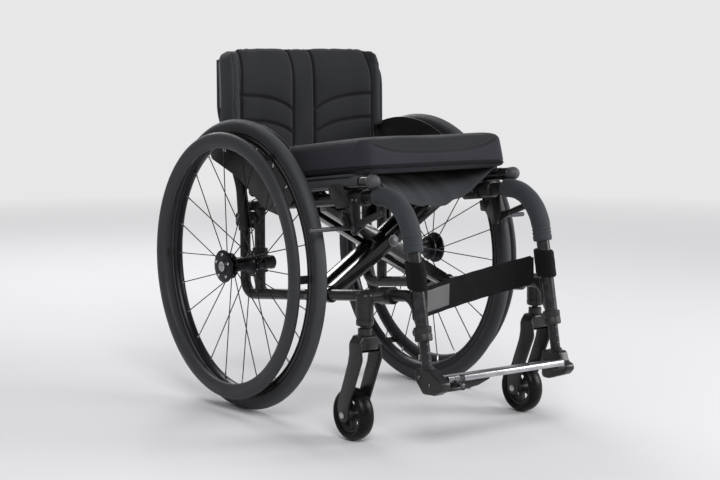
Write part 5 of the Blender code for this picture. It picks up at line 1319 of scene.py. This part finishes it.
def back_upholstery():
    """Back: a hollowed pad quilted by its seams, with a flap round each cane.

    The pad's points are x = share w, y = front surface plus the share of its rounded thickness, z up the back.
    """
    half, low, high, thick = 0.176, 0.4985, 0.7295, 0.024
    turn = whole_turn(72)
    round_x, round_y = softened(np.cos(turn), 0.16), softened(np.sin(turn), 0.7)
    up = np.linspace(-1, 1, 44)
    shrink = (1 - np.abs(up) ** 16) ** 0.5
    shrink[[0, -1]] = 0.12
    z = (low + high) / 2 + up * (high - low) / 2
    share = round_x[None] * np.ones_like(up)[:, None]
    narrowing = 1 - 0.06 * np.clip((z - 0.69) / 0.04, 0, 1) ** 2
    x = share * half * narrowing[:, None]
    y = back_front(share, z[:, None]) + thick / 2 + round_y[None] * thick / 2 * shrink[:, None]
    blank = grid(at(x, y, z[:, None]), False, True, True)

    def stitched(points):
        """Points of the front within a voxel of a seam, and the whole rear."""
        share_at = points[:, 0] / half
        front = points[:, 1] - AXLE_Y < back_front(share_at, points[:, 2]) + 0.01
        return np.where(front, back_seams(points)[0] < 0.004, 1.0)

    piece, moved = simulated("back_pad", blank, 0.0045, 5.0, 0.005, stitched)
    points = refined(piece, moved)
    distance, along = back_seams(points)
    front = points[:, 1] - AXLE_Y < back_front(points[:, 0] / half, points[:, 2]) + 0.009
    crease = 0.004 * np.exp(-((distance / 0.004) ** 2))
    puff = np.where(front, 0.0018 * (1 - np.exp(-((distance / 0.016) ** 2))) - crease, 0.0)
    put(piece, points + puff[:, None] * normals(piece.data))
    # The seam distance also darkens the cloth along its seam grooves, a painted shade.
    paint_values(piece, seam=np.where(front, distance, 1.0), stitch=along)
    finish_soft(piece, "cover_cloth", "frame", "back_upholstery")
    folded(piece)
    for word, side in SIDES.items():
        back_flap(word, side)


def back_flap(word, side):
    """Flap round a cane: a closed band with a flattened section, creased in front, and a roll behind it in a paler
    copy of the flap cloth, a painted highlight.

    Its inner edge is straight, and its outer edge rounds off by w = 1 - a (1 - t)^2 towards each end.
    """
    turn = whole_turn(96)
    ring_x, ring_y = softened(np.cos(turn), 0.6), softened(np.sin(turn), 0.8)
    rows = np.linspace(0, 1, 60)
    low, tall = 0.56, 0.165
    z = low + tall * rows
    corner, cut_off = (0.12, 0.55) if side < 0 else (0.45, 0.8)
    wide = 1 - cut_off * (1 - np.clip((1 - rows) / corner, 0, 1)) ** 2
    deep = np.clip(np.minimum(rows, 1 - rows) / 0.04, 0.2, 1) ** 0.5
    x = 0.1712 + 0.0138 * wide[:, None] * (1 + ring_x[None])
    wave = 0.0012 * np.sin(rows * 9 + side) + 0.0006 * np.sin(rows * 23)
    crease = 0.0034 * np.exp(-(((x - 0.1885 - wave[:, None]) / 0.0022) ** 2))
    fold = 0.0018 * np.exp(-(((z[:, None] - 0.69 + 0.8 * (x - 0.185)) / 0.004) ** 2))
    front = np.clip(-ring_y, 0, 1)[None]
    lean = 0.006 * (rows**3)[:, None]
    y = 0.1115 + 0.025 * ring_y[None] * deep[:, None] + (crease + fold) * front + lean
    outer = at(side * x, y, z[:, None])
    # The roll takes the flap colour whole, about four times the flap cloth: a painted highlight along the flap's
    # outer edge.
    roll_rows = np.linspace(0.27, 0.93, 40)
    roll_x = 0.1915 - 0.01 * cut_off * np.clip((roll_rows - 0.8) / 0.13, 0, 1) ** 2
    roll = at(side * roll_x, 0.1285 + 0.006 * roll_rows**3, low + tall * roll_rows)
    radius = 0.0072 * np.clip(np.minimum(roll_rows - 0.25, 0.95 - roll_rows) / 0.05, 0.3, 1) ** 0.5
    parts = {"flap_cloth": [grid(outer, False, True, True)], "flap_roll": [swept(roll, radius, 28)]}
    piece = build(f"{word}_back_flap", home_of(word), ["back_upholstery"], parts, 80)


def seat_sling():
    """Slack seat sheet: z follows a sag of s(v) (1 - u^2)^1.1, deepest at the front edge, with soft creases."""
    u, v = np.meshgrid(np.linspace(-1, 1, 73), np.linspace(0, 1, 61))
    rear, front = 0.043, -0.336
    y = rear + (front - rear) * v
    sag = 0.072 * v**7
    hang = np.clip(1 - u**2, 0, 1) ** 1.1
    crease = 0.0022 * np.sin(u * 15 + 3 * v) * v**3 * hang + 0.0012 * np.sin(u * 31 - 2 * v) * v**4 * hang
    points = sloped(u * 0.1565, y, 0.2308 - sag * hang + crease)
    sheet = build("sling_sheet", "seat", ["seat_sling"], {"sling_cloth": [grid(points)]})
    thickened(sheet, 0.0016)
    folded(sheet)
    low, high, middle = 0.2262, 0.231, (rear + front) / 2
    section = [(0.157, low), (0.1832, low), (0.1842, (low + high) / 2), (0.1832, high), (0.157, high)]
    long = (rear - front) / math.cos(SLOPE)
    folds = [prism(section, long, (sloped(0, middle), side * ACROSS, RISE), 0.001, 3) for side in SIDES.values()]
    folds = build("sling_folds", "seat", ["seat_sling"], {"sling_cloth": folds})
    folded(folds)
    for word, side in SIDES.items():
        sleeve = sloped(side * RAIL_X, np.linspace(0.04, front, 40), RAIL_RISE)
        wrap = turned_sleeve(sleeve, side)
        body = "cross_b" if side < 0 else "cross_a"
        hem = build(f"{word}_sling_hem", body, ["seat_sling"], {"sling_cloth": [wrap]})
        thickened(hem, 0.0012, 1.0)


def turned_sleeve(path, side):
    """Hem over a rail: rows of an arc of radius r from its outer flank over the top to its inner flank."""
    turn = np.radians(np.linspace(-20, 148, 25))
    radius = RAIL_RADIUS + 0.0012
    ripple = 0.0002 * np.sin(np.linspace(0, 40, len(path)))[:, None] * np.sin(turn * 3)
    reach = (radius + ripple)[..., None]
    spoke = np.cos(turn)[:, None] * side * ACROSS + np.sin(turn)[:, None] * RISE
    shell = grid(path[:, None] + reach * spoke)
    if side < 0:
        shell.quads, shell.uv = shell.quads[:, ::-1], shell.uv[:, ::-1]
    return shell


def calf_strap():
    """Calf strap: a band that bows back as 1 - u^2, rises along u and lifts into its near loop, and two loops."""
    u, v = np.meshgrid(np.linspace(-1, 1, 91), np.linspace(-1, 1, 23))
    level = 0.2835 + 0.0225 * u - 0.003 * (1 - u**2) + 0.022 * np.exp(-(((u + 1) / 0.12) ** 2))
    y = -0.4645 + 0.022 * (1 - u**2) + 0.0008 * np.sin(u * 21) * v
    points = at(u * 0.1445, y, level + v * 0.028 * np.where(np.abs(u) > 0.97, 0.86, 1))
    band = build("calf_band", "frame", ["calf_strap"], {"strap_web": [grid(points)]})
    patch = points[3:-3, 10:30] - 0.0016 * BACK
    label = build("calf_strap_patch", "frame", [], {"patch_grey": [grid(patch)]})
    for piece, thickness in ((band, 0.0026), (label, 0.0006)):
        thickened(piece, thickness)
        folded(piece)
    for word, side in SIDES.items():
        strap_loop(word, side)


def strap_loop(word, side):
    """Padded loop round a leg: an oval ring swept down the leg, with rolled ends and an overlap."""
    turn = whole_turn(48)
    rows = np.linspace(0, 1, 22)
    centre = on_leg(side * FRAME_X, 0.2945 + 0.051 * rows)
    ends = 1 - 0.16 * np.exp(-np.minimum(rows, 1 - rows) / 0.03)
    wide = 0.0158 * ends * (1 + 0.02 * np.sin(rows * 14))
    deep = 0.0215 * ends
    lobe = 1 + 0.25 * np.clip(np.sin(turn), 0, 1) ** 2
    offset = np.cos(turn)[None, :, None] * wide[:, None, None] * ACROSS
    offset = offset + (np.sin(turn) * lobe)[None, :, None] * deep[:, None, None] * BACK
    ring = grid(centre[:, None] + offset, False, True, True)
    seam = block((0.0016, 0.003, 0.046), on_leg(side * FRAME_X, 0.32) + side * ACROSS * 0.0155, edge=0.0006)
    parts = {"strap_web": [ring], "binding": [seam]}
    piece = build(f"{word}_calf_loop", home_of(word), ["calf_strap"], parts)


def length_setting(name, description, default):
    """A size that a user can change, in metres."""
    return bpy.props.FloatProperty(name=name, description=description, default=default, unit="LENGTH")


def colour_setting(name, description, *default):
    """A colour that a user can change."""
    return bpy.props.FloatVectorProperty(name=name, description=description, subtype="COLOR", default=default)


class WheelchairFrameSizes(bpy.types.PropertyGroup):
    """Sizes of the frame's finish."""

    weld_bead: length_setting("Weld bead", "Radius of a weld bead", 0.0016)
    sleeve_wall: length_setting("Foam wall", "Thickness of the leg foam", 0.0057)


class WheelchairWheelSizes(bpy.types.PropertyGroup):
    """Sizes of the rear wheels."""

    spokes: bpy.props.IntProperty(name="Spokes", description="Spokes in a rear wheel", default=24, min=12)
    spoke_radius: length_setting("Spoke radius", "Radius of a spoke", 0.0011)
    handrim_tabs: bpy.props.IntProperty(name="Tabs", description="Tabs that hold a push ring", default=6, min=3)
    tyre_ribs: bpy.props.IntProperty(name="Ribs", description="Cross ribs round a rear tyre", default=340, min=60)
    rib_depth: length_setting("Rib depth", "Depth between two ribs", 0.0007)


class WheelchairFinishes(bpy.types.PropertyGroup):
    """Colours of the chair's finishes."""

    frame_paint: colour_setting("Frame paint", "Powder coat of the tubes", 0.011, 0.011, 0.012)
    handrim: colour_setting("Push ring", "Coating of the push rings", 0.03, 0.031, 0.034)
    foam: colour_setting("Foam", "Foam on the legs", 0.03, 0.034, 0.039)
    tyre: colour_setting("Tyre", "Rubber of the tyres", 0.03, 0.031, 0.033)
    grip: colour_setting("Grip", "Rubber of the brake grips", 0.022, 0.022, 0.023)
    plastic: colour_setting("Plastic", "Moulded parts", 0.018, 0.018, 0.019)
    alloy: colour_setting("Alloy", "Polished footplate", 0.46, 0.46, 0.48)
    cloth: colour_setting("Cloth", "Covers of the back and cushion", 0.028, 0.029, 0.033)
    cushion_border: colour_setting("Border", "Border of the cushion", 0.028, 0.0255, 0.034)
    sling: colour_setting("Sling", "Slack seat sheet", 0.058, 0.06, 0.068)
    # The flap colour is at full strength only on the roll behind each flap, a painted highlight; the flap cloth
    # takes 0.24 of it.
    flap: colour_setting("Flap", "Side flaps of the back", 0.2, 0.212, 0.23)
    cap: colour_setting("Cap", "Ball caps of the seat rails", 0.06, 0.061, 0.065)
    strap: colour_setting("Strap", "Calf strap", 0.0075, 0.0075, 0.0085)
    patch: colour_setting("Patch", "Bare patch on the calf strap", 0.165, 0.165, 0.168)


class WheelchairStage(bpy.types.PropertyGroup):
    """The floor, the lamps and the camera."""

    floor: colour_setting("Floor", "Colour of the floor", 0.78, 0.78, 0.79)
    lens: bpy.props.FloatProperty(name="Lens", description="Focal length", default=81.56, subtype="DISTANCE_CAMERA")


class WHEELCHAIR_OT_side_frames(bpy.types.Operator):
    """Side frames, leg foam, clamp rings, saddles and axle clamps"""

    bl_idname = "wheelchair.side_frames"
    bl_label = "Side Frames"

    def execute(self, context):
        for word, side in SIDES.items():
            side_frame(word, side, context.scene.wheelchair_frame)
            leg_sleeve(word, side, context.scene.wheelchair_frame)
            foot_collar(word, side)
            rail_saddle(word, side)
            axle_clamp(word, side)
        return {"FINISHED"}


class WHEELCHAIR_OT_foot_rest(bpy.types.Operator):
    """Foot tubes, their castings and the footplate"""

    bl_idname = "wheelchair.foot_rest"
    bl_label = "Foot Rest"

    def execute(self, context):
        for word, side in SIDES.items():
            foot_tube(word, side)
            foot_bracket(word, side)
        footplate()
        return {"FINISHED"}


class WHEELCHAIR_OT_cross_brace(bpy.types.Operator):
    """Seat rails, the scissor brace and its pivot"""

    bl_idname = "wheelchair.cross_brace"
    bl_label = "Cross Brace"

    def execute(self, context):
        for word, side in SIDES.items():
            seat_rail(word, side)
        cross_half("a", -1, CROSS_A_FRONT, CROSS_A_FRONT + CROSS_STEP)
        cross_half("b", 1, CROSS_B_REAR - CROSS_STEP, CROSS_B_REAR)
        cross_pivot()
        return {"FINISHED"}


class WHEELCHAIR_OT_guards_and_canes(bpy.types.Operator):
    """Side guards and back canes"""

    bl_idname = "wheelchair.guards_and_canes"
    bl_label = "Guards and Canes"

    def execute(self, context):
        for word, side in SIDES.items():
            side_guard(word, side)
            back_cane(word, side)
        return {"FINISHED"}


class WHEELCHAIR_OT_brakes(bpy.types.Operator):
    """Wheel locks"""

    bl_idname = "wheelchair.brakes"
    bl_label = "Brakes"

    def execute(self, context):
        for word, side in SIDES.items():
            brake(word, side)
        return {"FINISHED"}


class WHEELCHAIR_OT_rear_wheels(bpy.types.Operator):
    """Rear wheels, push rings and quick-release axles"""

    bl_idname = "wheelchair.rear_wheels"
    bl_label = "Rear Wheels"

    def execute(self, context):
        for word, side in SIDES.items():
            rear_wheel(word, side, context.scene.wheelchair_wheels)
            quick_axle(word, side)
        return {"FINISHED"}


class WHEELCHAIR_OT_casters(bpy.types.Operator):
    """Front casters"""

    bl_idname = "wheelchair.casters"
    bl_label = "Casters"

    def execute(self, context):
        for word, side in SIDES.items():
            caster(word, side)
        return {"FINISHED"}


class WHEELCHAIR_OT_seat_cushion(bpy.types.Operator):
    """Seat cushion and its piping"""

    bl_idname = "wheelchair.seat_cushion"
    bl_label = "Cushion"

    def execute(self, context):
        cushion()
        return {"FINISHED"}


class WHEELCHAIR_OT_back(bpy.types.Operator):
    """Back upholstery and its flaps"""

    bl_idname = "wheelchair.back"
    bl_label = "Back"

    def execute(self, context):
        back_upholstery()
        return {"FINISHED"}


class WHEELCHAIR_OT_sling(bpy.types.Operator):
    """Seat sling and its hems"""

    bl_idname = "wheelchair.sling"
    bl_label = "Sling"

    def execute(self, context):
        seat_sling()
        return {"FINISHED"}


class WHEELCHAIR_OT_calf_strap(bpy.types.Operator):
    """Calf strap and its loops"""

    bl_idname = "wheelchair.calf_strap"
    bl_label = "Calf Strap"

    def execute(self, context):
        calf_strap()
        return {"FINISHED"}


def soft_lamp(name, place, target, size, energy):
    """A large square lamp at a place, turned to a target."""
    light = bpy.data.lights.new(name, "AREA")
    light.size, light.energy = size, energy
    lamp = placed(name, light)
    lamp.location = place
    lamp.rotation_euler = (Vector(target) - Vector(place)).to_track_quat("-Z", "Y").to_euler()


class WHEELCHAIR_OT_stage(bpy.types.Operator):
    """Floor, lamps, world and camera"""

    bl_idname = "wheelchair.stage"
    bl_label = "Stage"

    def execute(self, context):
        scene, stage = context.scene, context.scene.wheelchair_stage
        turn = whole_turn(96)
        reach = np.array([0.01, 1.0, 2.0, 3.5, 5.2])[:, None]
        points = np.stack([reach * np.cos(turn), reach * np.sin(turn), np.zeros((5, 96)) - 0.0002], axis=-1)
        shell = grid(points, False, True)
        mesh = bpy.data.meshes.new("floor")
        mesh.from_pydata(shell.points.tolist(), [], shell.quads[:, ::-1].tolist() + [list(range(96))])
        mesh.materials.append(floor_finish("pale_floor", stage.floor))
        placed("floor", mesh)
        world = bpy.data.worlds.new("studio")
        world.use_nodes = True
        scene.world = world
        nodes, links = world.node_tree.nodes, world.node_tree.links
        rays = nodes.new("ShaderNodeLightPath")
        seen = nodes.new("ShaderNodeMath")
        seen.operation = "MAXIMUM"
        links.new(rays.outputs["Is Camera Ray"], seen.inputs[0])
        links.new(rays.outputs["Is Transmission Ray"], seen.inputs[1])
        shade = nodes.new("ShaderNodeMix")
        shade.data_type = "RGBA"
        shade.inputs[6].default_value = (0.36, 0.36, 0.373, 1)
        shade.inputs[7].default_value = (0.8, 0.8, 0.81, 1)
        links.new(seen.outputs[0], shade.inputs[0])
        links.new(shade.outputs[2], nodes["Background"].inputs["Color"])
        soft_lamp("key", (-1.6, -2.9, 2.8), (0, 0, 0.35), 1.6, 78)
        soft_lamp("fill", (2.8, -2.2, 1.6), (0, 0, 0.35), 1.8, 88)
        soft_lamp("rim", (0.6, 2.8, 2.4), (0, 0, 0.4), 1.6, 55)
        camera = bpy.data.cameras.new("camera")
        camera.lens, camera.sensor_width = stage.lens, 36
        camera.clip_end = 100
        view = placed("camera", camera)
        view.location = (-1.9721, -2.7926 + AXLE_Y, 0.728)
        view.rotation_euler = (math.radians(90 - 6.65), 0, math.radians(-36.15))
        scene.camera = view
        scene.view_settings.view_transform = "Standard"
        return {"FINISHED"}


PIECES = (
    WHEELCHAIR_OT_side_frames,
    WHEELCHAIR_OT_foot_rest,
    WHEELCHAIR_OT_cross_brace,
    WHEELCHAIR_OT_guards_and_canes,
    WHEELCHAIR_OT_brakes,
    WHEELCHAIR_OT_rear_wheels,
    WHEELCHAIR_OT_casters,
    WHEELCHAIR_OT_seat_cushion,
    WHEELCHAIR_OT_back,
    WHEELCHAIR_OT_sling,
    WHEELCHAIR_OT_calf_strap,
    WHEELCHAIR_OT_stage,
)


class WHEELCHAIR_PT_panel(bpy.types.Panel):
    """Lists the chair's pieces, sizes and colours"""

    bl_label = "Wheelchair"
    bl_idname = "WHEELCHAIR_PT_panel"
    bl_space_type = "VIEW_3D"
    bl_region_type = "UI"
    bl_category = "Wheelchair"

    def draw(self, context):
        for piece in PIECES:
            self.layout.operator(piece.bl_idname)
        for name in SETTINGS:
            group = getattr(context.scene, name)
            box = self.layout.box()
            for key in group.bl_rna.properties.keys()[2:]:
                box.prop(group, key)


SETTINGS = {
    "wheelchair_frame": WheelchairFrameSizes,
    "wheelchair_wheels": WheelchairWheelSizes,
    "wheelchair_finishes": WheelchairFinishes,
    "wheelchair_stage": WheelchairStage,
}


def register():
    """Registers the settings, operators and panel."""
    for name, group in SETTINGS.items():
        bpy.utils.register_class(group)
        setattr(bpy.types.Scene, name, bpy.props.PointerProperty(type=group))
    for kind in (*PIECES, WHEELCHAIR_PT_panel):
        bpy.utils.register_class(kind)


def unregister():
    """Takes them away again."""
    for kind in (WHEELCHAIR_PT_panel, *reversed(PIECES)):
        bpy.utils.unregister_class(kind)
    for name, group in SETTINGS.items():
        delattr(bpy.types.Scene, name)
        bpy.utils.unregister_class(group)


def main():
    """Builds every piece and the stage."""
    register()
    for piece in PIECES:
        section, name = piece.bl_idname.split(".")
        getattr(getattr(bpy.ops, section), name)()


if __name__ == "__main__":
    main()
